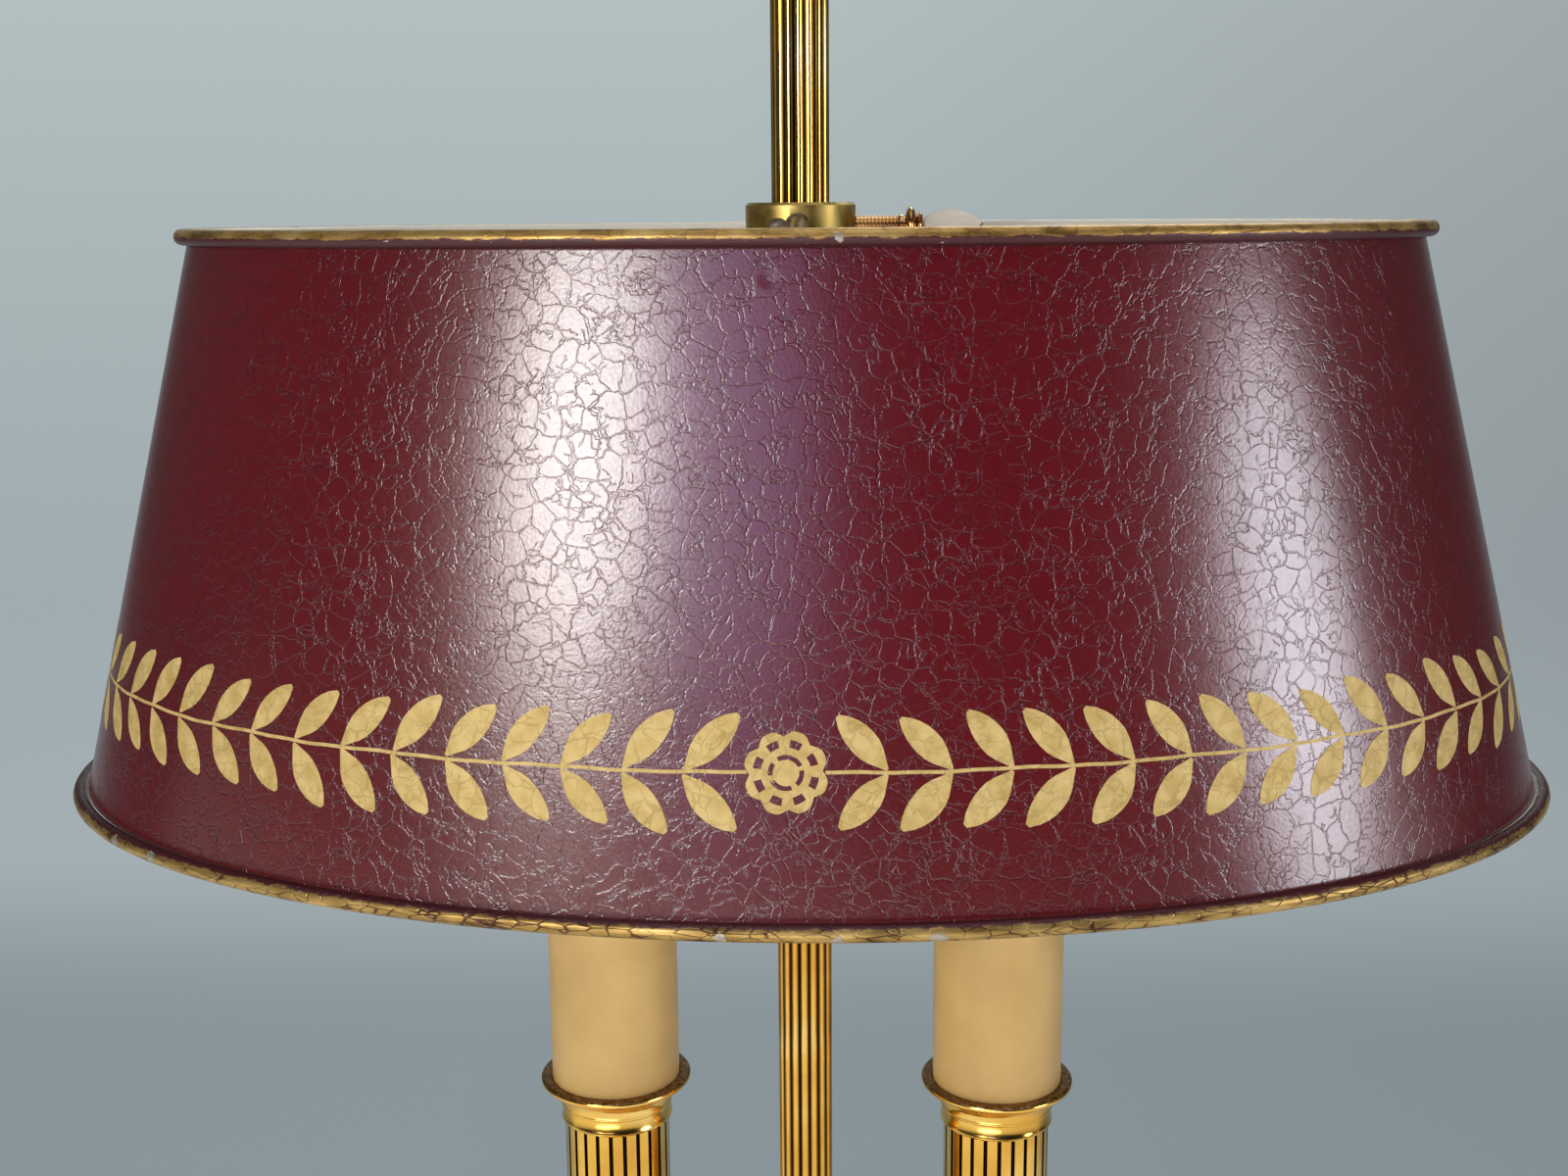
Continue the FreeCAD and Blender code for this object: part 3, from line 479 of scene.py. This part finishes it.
# plated fittings: cool grey zinc and warm pale nickel, both slightly clouded
zinc = makePlain("zincPlatedSteel", {
    "tones": ("#8E9093", "#B7B9BB"), "cloud": 0.5, "rough": (0.28, 0.42), "grain": 3.0, "relief": 0.3, "depth": 0.02},
    {"Metallic": 1.0})
nickel = makePlain("nickelledShell", {
    "tones": ("#B0A890", "#D6CFBC"), "cloud": 0.5, "rough": (0.2, 0.35), "grain": 3.0, "relief": 0.2, "depth": 0.02},
    {"Metallic": 1.0})
# moulded resin: black with a dull shine
phenolic = makePlain("mouldedPhenolic", {
    "tones": ("#0E0D0C", "#1C1A18"), "cloud": 0.4, "rough": (0.3, 0.45), "grain": 2.0, "relief": 0.3, "depth": 0.03},
    {"IOR": 1.6})
# acid-etched glass: milky, half see-through
frosted = makePlain("frostedBulbGlass", {
    "tones": ("#E4E0D6", "#F4F1EA"), "cloud": 0.05, "rough": (0.42, 0.55), "grain": 2.5, "relief": 0.2,
    "depth": 0.02}, {"Transmission Weight": 0.55, "IOR": 1.5})
# sand-cast and blackened: coarse and dull
castIron = makePlain("blackenedCastIron", {
    "tones": ("#17171A", "#2B2B2E"), "cloud": 0.3, "rough": (0.6, 0.8), "grain": 1.1, "relief": 1.0, "depth": 0.2},
    {"Metallic": 0.6})
# pressed wool: matt, with a faint pale edge of fibres
felt = makePlain("greenWoolFelt", {
    "tones": ("#14301F", "#25523A"), "cloud": 0.8, "rough": (0.85, 0.95), "grain": 2.2, "relief": 1.0, "depth": 0.3},
    {"Sheen Weight": 0.4})
print("materials made")


# Shade skin: sheet iron rolled to an oval cone, lacquered outside and enamelled inside
skin = {"segments": 288, "rows": 10, "wall": 0.7}
skinPoints = np.array([v.co for v in nodes["shade_skin"].data.vertices])
skinLow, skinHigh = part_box("shade_skin")


def ringHalf(z):
    near = skinPoints[abs(skinPoints[:, 2] - z) < 0.05 * mm]
    return near[:, 0].max(), near[:, 1].max()


lowA, lowB = ringHalf(skinLow.z)
highA, highB = ringHalf(skinHigh.z)


def skinPoint(turn, share):
    return Vector(((lowA + (highA - lowA) * share) * math.cos(turn), (lowB + (highB - lowB) * share) * math.sin(turn),
                   skinLow.z + (skinHigh.z - skinLow.z) * share))


def buildSkin():
    clearSelection()
    height = skinHigh.z - skinLow.z
    bpy.ops.mesh.primitive_cylinder_add(vertices=skin["segments"], radius=1, depth=height, end_fill_type="NOTHING",
                                        location=(0, 0, (skinLow.z + skinHigh.z) / 2))
    obj = bpy.context.object
    applyPlace(obj)
    for edgeZ, halfA, halfB in ((skinLow.z, lowA, lowB), (skinHigh.z, highA, highB)):
        pick(obj, "VERT", lambda co, item: abs(co.z - edgeZ) < mm)
        scaleAbout(halfA, halfB, (0, 0, edgeZ))
        backToObject()
    pick(obj, "EDGE", lambda co, item: skinLow.z + mm < co.z < skinHigh.z - mm)
    bpy.ops.mesh.subdivide_edgering(number_cuts=skin["rows"], interpolation="LINEAR", smoothness=0)
    backToObject()
    obj.data.materials.append(burgundy)
    obj.data.materials.append(cream)
    applyModifier(obj, "SOLIDIFY", {"thickness": skin["wall"] * mm, "offset": -1, "material_offset": 1})
    finishPiece(obj, "shadeSkinLacquered", "shade", None, ("shade_skin",), 40)


buildSkin()


# Rolled rims: the sheet turned round a wire, so the bead is full and round. It stays just inside the node's box
rim = {"steps": 72, "round": 5, "share": 0.995}


def buildRim(node, name, material):
    low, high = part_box(node)
    radius = (high.z - low.z) / 2
    clearSelection()
    bpy.ops.curve.primitive_bezier_circle_add(radius=1, location=(0, 0, (low.z + high.z) / 2))
    obj = bpy.context.object
    obj.scale = (high.x - radius, high.y - radius, 1)
    bpy.ops.object.transform_apply(location=False, rotation=False, scale=True)
    obj.data.resolution_u = rim["steps"]
    for point in obj.data.splines[0].bezier_points:
        point.radius = 1        # the applied scale has shrunk it
    obj.data.bevel_depth = radius * rim["share"]
    obj.data.bevel_resolution = rim["round"]
    bpy.ops.object.convert(target="MESH")
    finishPiece(bpy.context.object, name, "shade", material, (node,), 60)


buildRim("rim_wire_top", "rimBeadTop", rimTopGold)
buildRim("rim_wire_bottom", "rimBeadBottom", rimLowGold)
print("shade and rims made")


# Laurel garland and its rosettes, stamped flat and then laid round the oval cone
garland = {"height": 27.6, "nodeStep": 11.17, "firstNode": 18.1, "pairs": 34, "leafLength": 13.4, "leafWidth": 5.3,
           "lean": 49, "stemWide": 0.66, "proud": 0.05, "bow": 0.05, "askew": 0.10}
leafShape = [0.10, 0.42, 0.75, 0.95, 1.0, 0.96, 0.82, 0.57, 0.16]        # its width from base to tip
rosetteShape = {"rings": (2.35, 3.2, 4.2, 4.5, 5.9, 7.55), "petals": 8, "bridges": (0.3, 2.9, 4.4, 6.6)}
handFaults = {"lean": 4, "size": (-0.05, 0.04), "wide": 0.05, "along": 0.25, "offStem": (0.25, 0.35)}
garlandShare = (garland["height"] * mm - (skinLow.z - lowRimZ * mm)) / (skinHigh.z - skinLow.z)
turns = np.linspace(-math.pi / 2, math.pi * 1.5, 4001)
linePoints = np.array([skinPoint(t, garlandShare) for t in turns])
lineLength = np.concatenate([[0], np.cumsum(np.linalg.norm(np.diff(linePoints, axis=0), axis=1))])


def layOnShade(along, up, proud):
    turn = float(np.interp(along % lineLength[-1], lineLength, turns))
    slant = (skinPoint(turn, 1) - skinPoint(turn, 0)).length
    share = garlandShare + up / slant
    spot = skinPoint(turn, share)
    across = skinPoint(turn + 1e-3, share) - spot
    rise = skinPoint(turn, share + 1e-3) - spot
    return spot + across.cross(rise).normalized() * proud


def layMesh(obj):
    proud = garland["proud"] * mm
    for vertex in obj.data.vertices:
        vertex.co = layOnShade(vertex.co.x, vertex.co.y, proud)


def flatLeaf():
    # base at the origin, tip towards +X
    clearSelection()
    length, wide = garland["leafLength"] * mm, garland["leafWidth"] * mm
    bpy.ops.mesh.primitive_grid_add(x_subdivisions=8, y_subdivisions=4, size=1, location=(0.5, 0, 0))
    leaf = bpy.context.object
    applyPlace(leaf)
    for column, share in enumerate(leafShape):
        x = column / (len(leafShape) - 1)
        pick(leaf, "VERT", lambda co, item: abs(co.x - x) < 0.02)
        scaleAbout(1, share, (x, 0, 0))
        backToObject()
    leaf.scale = (length, wide, 1)
    applyPlace(leaf)
    # the tip is cut a little askew and the blade bows
    for vertex in leaf.data.vertices:
        share = vertex.co.x / length
        vertex.co.y += garland["bow"] * wide * math.sin(share * math.pi)
        vertex.co.x += garland["askew"] * vertex.co.y * share
    return leaf


def flatRosette():
    clearSelection()
    rings = rosetteShape["rings"]
    bpy.ops.mesh.primitive_circle_add(vertices=64, radius=rings[0] * mm, fill_type="TRIFAN")
    rosette = bpy.context.object
    pick(rosette, "EDGE", lambda co, item: co.length > 2.2 * mm)
    for before, after in zip(rings, rings[1:]):
        bpy.ops.mesh.extrude_edges_move()
        scaleAbout(after / before, after / before)
    backToObject()

    def step(co):
        return (math.degrees(math.atan2(co.y, co.x)) % 360) / 360 * rosetteShape["petals"]

    # petals: the outer ring drawn in between them
    for depth, near, far in ((0.86, -0.01, 0.06), (0.91, 0.06, 0.19), (0.97, 0.19, 0.31)):
        pick(rosette, "VERT", lambda co, item: co.length > 6.2 * mm and near < abs((step(co) + 0.5) % 1 - 0.5) < far)
        scaleAbout(depth, depth)
        backToObject()

    # windows in the petals, and the open ring round the centre with its bridges
    def isWindow(co, item):
        reach = co.length / mm
        inPetal = abs(step(co) % 1 - 0.5)
        bridge = min(abs(step(co) - k) for k in rosetteShape["bridges"])
        return (4.6 < reach < 5.8 and inPetal < 0.26) or (2.5 < reach < 3.1 and bridge > 0.22)
    pick(rosette, "FACE", isWindow)
    bpy.ops.mesh.delete(type="FACE")
    backToObject()
    return rosette


def buildGarland():
    leaf = flatLeaf()
    rosette = flatRosette()
    pieces = []
    half = lineLength[-1] / 2
    faultLean, faultWide, faultAlong = (handFaults[k] for k in ("lean", "wide", "along"))
    offStem, offSpread = handFaults["offStem"]
    for side in (1, -1):
        for k in range(garland["pairs"]):
            along = side * (garland["firstNode"] + k * garland["nodeStep"]) * mm
            for up in (1, -1):
                piece = addCopy("leaf", leaf)
                lean = math.radians(garland["lean"] + rng.uniform(-faultLean, faultLean))
                size = 1 + rng.uniform(*handFaults["size"])
                wide = size * (1 + rng.uniform(-faultWide, faultWide))
                shift = rng.uniform(-faultAlong, faultAlong)
                base = Vector((along + shift * mm, up * (offStem + rng.uniform(0, offSpread)) * mm, 0))
                way = Matrix(((-side * math.cos(lean), side * math.sin(lean), 0),
                              (up * math.sin(lean), up * math.cos(lean), 0), (0, 0, 1)))
                for vertex in piece.data.vertices:
                    flat = Vector((vertex.co.x * size, vertex.co.y * wide, 0))
                    vertex.co = way @ flat + base
                if side * up > 0:
                    piece.data.flip_normals()
                layMesh(piece)
                pieces.append(piece)
    for middle, spin in ((0, 0.06), (half, 0.3)):
        piece = addCopy("rosette", rosette)
        for vertex in piece.data.vertices:
            vertex.co = Matrix.Rotation(spin, 3, "Z") @ vertex.co + Vector((middle, 0, 0))
        layMesh(piece)
        pieces.append(piece)
    clearSelection()
    gap = (rosetteShape["rings"][-1] - 0.6) * mm
    for start, end in ((gap, half - gap), (half + gap, 2 * half - gap)):
        bpy.ops.mesh.primitive_grid_add(x_subdivisions=260, y_subdivisions=1, size=1, location=(0.5, 0, 0))
        line = bpy.context.object
        applyPlace(line)
        line.scale = (end - start, garland["stemWide"] * mm, 1)
        line.location = (start, 0, 0)
        applyPlace(line)
        for vertex in line.data.vertices:
            # a hand-drawn line wavers by a tenth of a millimetre
            vertex.co.y += 0.12 * mm * math.sin(vertex.co.x * 190) + 0.06 * mm * math.sin(vertex.co.x * 610)
        layMesh(line)
        pieces.append(line)
        clearSelection()
    for spare in (leaf, rosette):
        bpy.data.objects.remove(spare)
    obj = joinPieces(pieces)
    obj.data.materials.clear()
    finishPiece(obj, "laurelGarland", "shade", stampedGold, (), 60)
    print("garland faces", len(obj.data.polygons))


buildGarland()


# Reeded stem tubes: a round of flats, each second corner drawn in for the valleys, the crests rolled over
reeds = {"count": 16, "depth": 0.62, "spread": 1.0636, "roll": 0.85, "rollSteps": 7, "bore": 0.86, "lip": 4}


def buildReeded(node, name):
    low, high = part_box(node)
    radius = high.x * reeds["spread"]        # the rolled crests end at the tube's own radius
    clearSelection()
    bpy.ops.mesh.primitive_cylinder_add(vertices=reeds["count"] * 2, radius=radius, depth=high.z - low.z,
                                        end_fill_type="NOTHING", location=(0, 0, (low.z + high.z) / 2))
    obj = bpy.context.object
    applyPlace(obj)
    halfReed = 180 / reeds["count"]

    def place(co):
        return round((math.degrees(math.atan2(co.y, co.x)) % 360) / halfReed)
    pick(obj, "VERT", lambda co, item: place(co) % 2 == 1)
    inner = (high.x - reeds["depth"] * mm) / radius
    scaleAbout(inner, inner)
    backToObject()
    pick(obj, "EDGE", lambda co, item: low.z + mm < co.z < high.z - mm and place(co) % 2 == 0
         and Vector((co.x, co.y)).length > radius * 0.98)
    bpy.ops.mesh.bevel(offset=reeds["roll"] * mm, segments=reeds["rollSteps"], profile=0.5, affect="EDGES")
    backToObject()
    for ring, away in ((low.z, 1), (high.z, -1)):        # the tube's wall at each end
        pick(obj, "EDGE", lambda co, item: abs(co.z - ring) < 0.01 * mm)
        bpy.ops.mesh.extrude_edges_move()
        scaleAbout(reeds["bore"], reeds["bore"], (0, 0, ring))
        bpy.ops.mesh.extrude_edges_move(TRANSFORM_OT_translate={"value": (0, 0, reeds["lip"] * mm * away)})
        backToObject()
    editAll(obj)
    bpy.ops.mesh.normals_make_consistent(inside=False)
    backToObject()
    finishPiece(obj, name, bodyOf[node], stemBrass, (node,), 50)


buildReeded("upper_stem", "reededStemUpper")
buildReeded("lower_stem", "reededStemLower")


# Thumbscrew: cut thread, bead and ring, turned round the X axis
thread = {"pitch": 0.8, "crest": 2.5, "root": 2.02, "tip": 1.7, "neck": 2.0, "bead": 4.3, "beadLong": 2.6,
          "ring": 3.1, "ringLong": 1.4}
# one turn of the thread: share of the pitch, root or crest
toothShape = ((0, "root"), (0.12, "root"), (0.44, "crest"), (0.56, "crest"), (0.88, "root"), (1, "root"))


def buildKey():
    low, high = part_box("key_screw")
    axisZ = (low.z + high.z) / 2
    beadStart = high.x - (thread["ringLong"] + thread["beadLong"]) * mm
    pitch, crest, root, neck = (thread[k] * mm for k in ("pitch", "crest", "root", "neck"))
    start = low.x + 0.3 * mm
    teeth = int((beadStart - 0.2 * mm - start) / pitch)
    line = drawLine([(start + pitch * share, 0, axisZ + thread[part] * mm) for share, part in toothShape])
    applyPlace(line)
    line.location = (0, 0, -axisZ)
    applyPlace(line)
    applyModifier(line, "SCREW", {"axis": "X", "angle": 2 * math.pi, "screw_offset": pitch, "iterations": teeth - 1,
                                  "steps": 28, "render_steps": 28, "use_merge_vertices": True,
                                  "merge_threshold": 0.002 * mm})
    line.location = (0, 0, axisZ)
    applyPlace(line)
    profile = [(beadStart - 1.0 * mm, 0.0), (beadStart - 1.0 * mm, crest), (beadStart - 0.3 * mm, crest),
               (beadStart - 0.2 * mm, root)]
    for part, before, first, steps, power in (("bead", 0, 0, 12, 0.62), ("ring", thread["beadLong"], 1, 8, 0.7)):
        for k in range(first, steps + 1):
            share = k / steps
            profile.append((beadStart + (before + share * thread[part + "Long"]) * mm,
                            neck + (thread[part] * mm - neck) * math.sin(share * math.pi) ** power))
    profile.append((high.x, 0.0))
    body = drawLine([(x, 0, axisZ + r) for x, r in profile])
    tip = drawLine([(low.x, 0, axisZ), (low.x, 0, axisZ + thread["tip"] * mm), (start + 0.3 * mm, 0, axisZ + root),
                    (start + 1.2 * mm, 0, axisZ + root)])
    for part in (body, tip):
        spinProfile(part, (0, 0, axisZ), (1, 0, 0), 40)
    editAll(line)
    bpy.ops.mesh.normals_make_consistent(inside=False)
    backToObject()
    joinPieces([body, line, tip])
    finishPiece(body, "thumbscrew", "key", screwBrass, ("key_screw",), 35)
    smoothCopy("key_wing", leafMetal, 0.45, 40)


buildKey()
print("stem and thumbscrew made")


# Braze on the collar where the front arm meets it: one large lump and a small run beside it. Each has its place
# from the stem's axis and the collar's top, and its half sizes
brazeRun = ((-0.3, -12.0, -4.5, (2.6, 2.0, 2.3)), (-4.3, -11.2, -4.9, (2.3, 1.2, 1.7)),
            (-2.4, -11.9, -5.4, (2.2, 0.9, 1.4)))


def buildSolder():
    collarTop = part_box("shade_collar")[1].z
    lumps = []
    for x, y, z, size in brazeRun:
        clearSelection()
        bpy.ops.mesh.primitive_ico_sphere_add(subdivisions=4, radius=1, location=(x * mm, y * mm, collarTop + z * mm),
                                              scale=[s * mm for s in size])
        lump = bpy.context.object
        applyPlace(lump)
        editAll(lump)
        bpy.ops.transform.vertex_random(offset=0.10 * mm, uniform=0.2, seed=3)
        bpy.ops.mesh.vertices_smooth(factor=0.5, repeat=2)
        backToObject()
        lumps.append(lump)
    finishPiece(joinPieces(lumps), "brazeLumps", "shade", solder, (), 60)


buildSolder()
smoothCopy("shade_collar", collarBrass, 0.12, 30)
for side in ("front", "rear", "left", "right"):
    smoothCopy(f"spider_arm_{side}", armBrass, 0, 50)
smoothCopy("collar_sleeve", collarBrass, 0, 30)


# Candle columns: polished capitals with a rough cast upper face, fluted columns and ivory tubes
band = {"radius": 13.1, "wall": 1.2, "down": 3.6, "edge": 0.45}


def buildBand(side):
    # the plain band under a capital
    low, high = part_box(f"capital_{side}")
    middleX = (low.x + high.x) / 2
    radius, edge = band["radius"] * mm, band["edge"] * mm
    bottom = low.z - band["down"] * mm
    inner = radius - band["wall"] * mm
    top = low.z + 0.6 * mm        # a little way into the capital
    profile = ((inner, top), (radius - 0.2 * mm, top), (radius - 0.2 * mm, bottom + 1.5 * mm),
               (radius, bottom + 1.1 * mm), (radius + 0.12 * mm, bottom + edge),
               (radius - 0.1 * mm, bottom + 0.1 * mm), (radius - edge, bottom), (inner, bottom))
    line = drawLine([(middleX + x, 0, z) for x, z in profile])
    spinProfile(line, (middleX, 0, 0), (0, 0, 1), 72)
    finishPiece(line, f"capitalBand_{side}", "stand", polished, (), 35)


for side in ("left", "right"):
    buildBand(side)
    capital = smoothCopy(f"capital_{side}", polished, 0.25, 35)
    capital.data.materials.append(capitalTop)
    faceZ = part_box(f"capital_{side}")[1].z
    pick(capital, "FACE", lambda co, item: item.normal.z > 0.55 and co.z > faceZ - 0.5 * mm)
    capital.active_material_index = 1
    bpy.ops.object.material_slot_assign()
    backToObject()
    smoothCopy(f"column_{side}", columnBrass, 0, 25)
    smoothCopy(f"candle_tube_{side}", ivory, 0.3, 35)
    smoothCopy(f"bulb_glass_{side}", frosted, 0, 60)
    smoothCopy(f"bulb_cap_{side}", nickel, 0, 35)
    smoothCopy(f"lampholder_{side}", phenolic, 0.3, 35)
    for node, bevel in (("column_foot", 0.2), ("arm", 0), ("arm_rosette", 0.25)):
        smoothCopy(f"{node}_{side}", polished, bevel, 35)

for node, bevel in (("hub_body", 0.3), ("hub_cap", 0.25), ("base_dish", 0), ("base_socle", 0.2),
                    ("base_reeded_band", 0), ("finial", 0.2), ("ring_handle", 0), ("switch_knob", 0.2),
                    ("switch_nut", 0.2), ("switch_body", 0.2)):
    smoothCopy(node, polished, bevel, 35)
smoothCopy("base_felt", felt, 0.3, 40)
smoothCopy("base_weight", castIron, 0.6, 40)
smoothCopy("cable_inlet", phenolic, 0.2, 35)

# the fittings inside keep their CAD shape
for node, slot in slotOf.items():
    if slot in ("steel", "cap_metal") and not node.startswith("bulb_cap"):
        for place in nodes[node].material_slots:
            place.material = zinc if slot == "steel" else nickel
print("columns, hub and base made")


# Floor and backdrop: a sweep of paper, grey-blue behind the lamp and paler up the wall, with a painted pool of warm
# white light round the lamp and painted shade darkening it towards the right.
# Metres, and mm in its patterns
stage = {"near": "#D2D1CA", "front": "#919DA2", "middle": "#AEBABE", "top": "#C6D2D3", "right": "#A9A4A4",
         "glow": 0.8, "wide": 20, "middleY": -0.2, "wallY": 2.6, "high": 3.6, "bend": 0.9}


def buildStage():
    clearSelection()
    bpy.ops.mesh.primitive_plane_add(size=1, location=(0, stage["middleY"], 0))
    obj = bpy.context.object
    obj.scale = (stage["wide"], 2 * (stage["wallY"] - stage["middleY"]), 1)
    applyPlace(obj)
    pick(obj, "EDGE", lambda co, item: co.y > stage["wallY"] - 0.01)
    bpy.ops.mesh.extrude_edges_move(TRANSFORM_OT_translate={"value": (0, 0, stage["high"])})
    backToObject()
    pick(obj, "EDGE", lambda co, item: co.y > stage["wallY"] - 0.01 and abs(co.z) < 0.01)
    bpy.ops.mesh.bevel(offset=stage["bend"], segments=16, profile=0.5, affect="EDGES")
    backToObject()
    material, add, shader, place = newMaterial("backdropPaper", {"Roughness": 0.9, "Specular IOR Level": 0.1})
    parts = add("ShaderNodeSeparateXYZ", {}, {0: place})
    far = add("ShaderNodeMapRange", {"interpolation_type": "SMOOTHSTEP", "from": (560, 900), "to": (0, 0.5)},
              {"Value": parts.outputs["Y"]})
    up = add("ShaderNodeMapRange", {"from": (0, 900), "to": (0, 0.5)}, {"Value": parts.outputs["Z"]})
    share = add("ShaderNodeMath", {"operation": "ADD"}, {0: far.outputs[0], 1: up.outputs[0]})
    shade = add("ShaderNodeValToRGB", {"stops": [(0.0, stage["front"]), (0.5, stage["middle"]), (1.0, stage["top"])]},
                {0: share.outputs[0]})
    # painted light: the warm white paper colour round the lamp stands for a pool of lamplight on the floor
    paintedPoolMask = add("ShaderNodeMapRange", {"interpolation_type": "SMOOTHSTEP", "from": (-150, 420), "to": (1, 0)},
                {"Value": parts.outputs["Y"]})
    shade = add("ShaderNodeMix", {"data_type": "RGBA", 7: stage["near"]}, {0: paintedPoolMask.outputs[0], 6: shade.outputs[0]})
    # painted shade: the backdrop colour is darkened towards the right
    dim = add("ShaderNodeMapRange", {"from": (-200, 1100), "to": (0, 0.36)}, {"Value": parts.outputs["X"]})
    shade = add("ShaderNodeMix", {"data_type": "RGBA", "blend_type": "MULTIPLY", 7: stage["right"]},
                {0: dim.outputs[0], 6: shade.outputs[2]})
    plug(shader, {"Base Color": shade.outputs[2]})
    # painted light: to glossy rays the floor in front of the lamp glows up to 1.9 times as bright, a painted pool of
    # light that the brass mirrors
    path = add("ShaderNodeLightPath")
    paintedGlowStrength = add("ShaderNodeMath", {"operation": "MULTIPLY"}, {0: paintedPoolMask.outputs[0], 1: path.outputs["Is Glossy Ray"]})
    paintedGlowStrength = add("ShaderNodeMath", {"operation": "MULTIPLY_ADD", 1: 0.9, 2: 1.0}, {0: paintedGlowStrength.outputs[0]})
    # painted shade: to glossy rays the floor and wall far out to the sides glow less, a painted dark room that keeps
    # the ends of the shade deep in colour
    paintedDarkSides = add("ShaderNodeMath", {"operation": "ABSOLUTE"}, {0: parts.outputs["X"]})
    paintedDarkSides = add("ShaderNodeMapRange", {"interpolation_type": "SMOOTHSTEP", "from": (900, 2400), "to": (0, 0.85)},
                {"Value": paintedDarkSides.outputs[0]})
    paintedDarkSides = add("ShaderNodeMath", {"operation": "MULTIPLY"}, {0: paintedDarkSides.outputs[0], 1: path.outputs["Is Glossy Ray"]})
    paintedGlowStrength = add("ShaderNodeMath", {"operation": "SUBTRACT"}, {0: paintedGlowStrength.outputs[0], 1: paintedDarkSides.outputs[0]})
    glow = add("ShaderNodeEmission", {}, {0: shade.outputs[2], "Strength": paintedGlowStrength.outputs[0]})
    seen = path.outputs["Is Camera Ray"]
    for ray in ("Is Glossy Ray", "Is Transmission Ray"):
        seen = add("ShaderNodeMath", {"operation": "MAXIMUM"}, {0: seen, 1: path.outputs[ray]}).outputs[0]
    seen = add("ShaderNodeMath", {"operation": "MULTIPLY", 1: stage["glow"]}, {0: seen})
    blend = add("ShaderNodeMixShader", {}, {0: seen.outputs[0], 1: shader.outputs[0], 2: glow.outputs[0]})
    output = next(node for node in material.node_tree.nodes if node.type == "OUTPUT_MATERIAL")
    plug(output, {"Surface": blend.outputs[0]})
    obj.data.materials.append(material)
    obj.name = "backdropSweep"
    activate(obj)
    bpy.ops.object.shade_smooth_by_angle(angle=math.radians(40))


buildStage()


# Soft boxes: the key left of the camera, a window's violet-blue beside it, a weaker one on the right, one
# overhead, a low warm strip in front, which the columns mirror, and a fill behind
lamps = {
    "keyLeft": {"toward": (-0.475, -0.875, 0.2), "away": 1.15, "size": (0.38, 0.36), "watts": 6.6, "tint": "#FFFDFA"},
    "paleWindow": {"toward": (-0.17, -0.96, 0.2), "away": 1.35, "size": (0.55, 0.5), "watts": 1.7, "tint": "#C9C6FF"},
    "softRight": {"toward": (0.903, -0.432, 0.05), "away": 1.25, "size": (0.42, 0.48), "watts": 5.6, "tint": "#F4F6FF"},
    "overhead": {"toward": (0.1, -0.25, 1.0), "away": 1.2, "size": (1.2, 1.2), "watts": 3.5, "tint": "#F6F8FF"},
    "lowFront": {"toward": (-0.25, -0.95, -0.32), "away": 1.1, "size": (0.9, 0.12), "watts": 2, "tint": "#FFF4DE"},
    "rearFill": {"toward": (0.2, 0.7, 0.75), "away": 1.5, "size": (1.0, 0.7), "watts": 6, "tint": "#FBFBFF"},
}


def buildLamps():
    target = Vector((0, 0, 0.39))
    for name, lamp in lamps.items():
        way = Vector(lamp["toward"]).normalized()
        clearSelection()
        bpy.ops.object.light_add(type="AREA", location=target + way * lamp["away"])
        light = bpy.context.object
        light.name = name
        light.rotation_euler = way.to_track_quat("Z", "Y").to_euler()
        light.data.shape = "ELLIPSE"
        light.data.size, light.data.size_y = lamp["size"]
        light.data.energy = lamp["watts"]
        light.data.color = linear(lamp["tint"])[:3]


def buildWorld():
    world = bpy.data.worlds.new("softRoom")
    bpy.context.scene.world = world
    world.use_nodes = True
    world.node_tree.nodes.clear()
    add = partial(addNode, world.node_tree)
    coords = add("ShaderNodeTexCoord")
    parts = add("ShaderNodeSeparateXYZ", {}, {0: coords.outputs["Generated"]})
    height = add("ShaderNodeMapRange", {"from": (-0.6, 1.0)}, {"Value": parts.outputs["Z"]})
    shade = add("ShaderNodeValToRGB", {"stops": [(0.0, "#5B6266"), (0.45, "#8D969C"), (1.0, "#D5DDE4")]},
                {0: height.outputs[0]})
    front = add("ShaderNodeMapRange", {"from": (-0.9, 0.3), "to": (0.06, 0.3)}, {"Value": parts.outputs["Y"]})
    # dim in front, so that the lacquer stays dark, but pale where the camera looks at it
    path = add("ShaderNodeLightPath")
    pale = add("ShaderNodeMath", {"operation": "MULTIPLY", 1: 0.85}, {0: path.outputs["Is Camera Ray"]})
    force = add("ShaderNodeMath", {"operation": "MAXIMUM"}, {0: pale.outputs[0], 1: front.outputs[0]})
    sky = add("ShaderNodeBackground", {}, {"Color": shade.outputs[0], "Strength": force.outputs[0]})
    add("ShaderNodeOutputWorld", {}, {0: sky.outputs[0]})


# Camera: level with the collar, a little right of the stem, looking down at the shade
view = {"place": (0.0133, -0.4225, 0.455), "yaw": 2.378, "down": 11.256, "roll": -0.447, "lens": 43.756, "sensor": 36}


def buildCamera():
    yaw, down = math.radians(view["yaw"]), math.radians(view["down"])
    way = Vector((-math.sin(yaw) * math.cos(down), math.cos(yaw) * math.cos(down), -math.sin(down)))
    data = bpy.data.cameras.new("camera")
    data.lens = view["lens"]
    data.sensor_width = view["sensor"]
    data.clip_start = 0.01
    camera = bpy.data.objects.new("camera", data)
    bpy.context.scene.collection.objects.link(camera)
    turn = way.to_track_quat("-Z", "Y").to_matrix() @ Matrix.Rotation(math.radians(view["roll"]), 3, "Z")
    camera.rotation_euler = turn.to_euler()
    camera.location = view["place"]
    bpy.context.scene.camera = camera


buildLamps()
buildWorld()
buildCamera()
bpy.context.scene.view_settings.view_transform = "Standard"
print("stage, lamps and camera made")
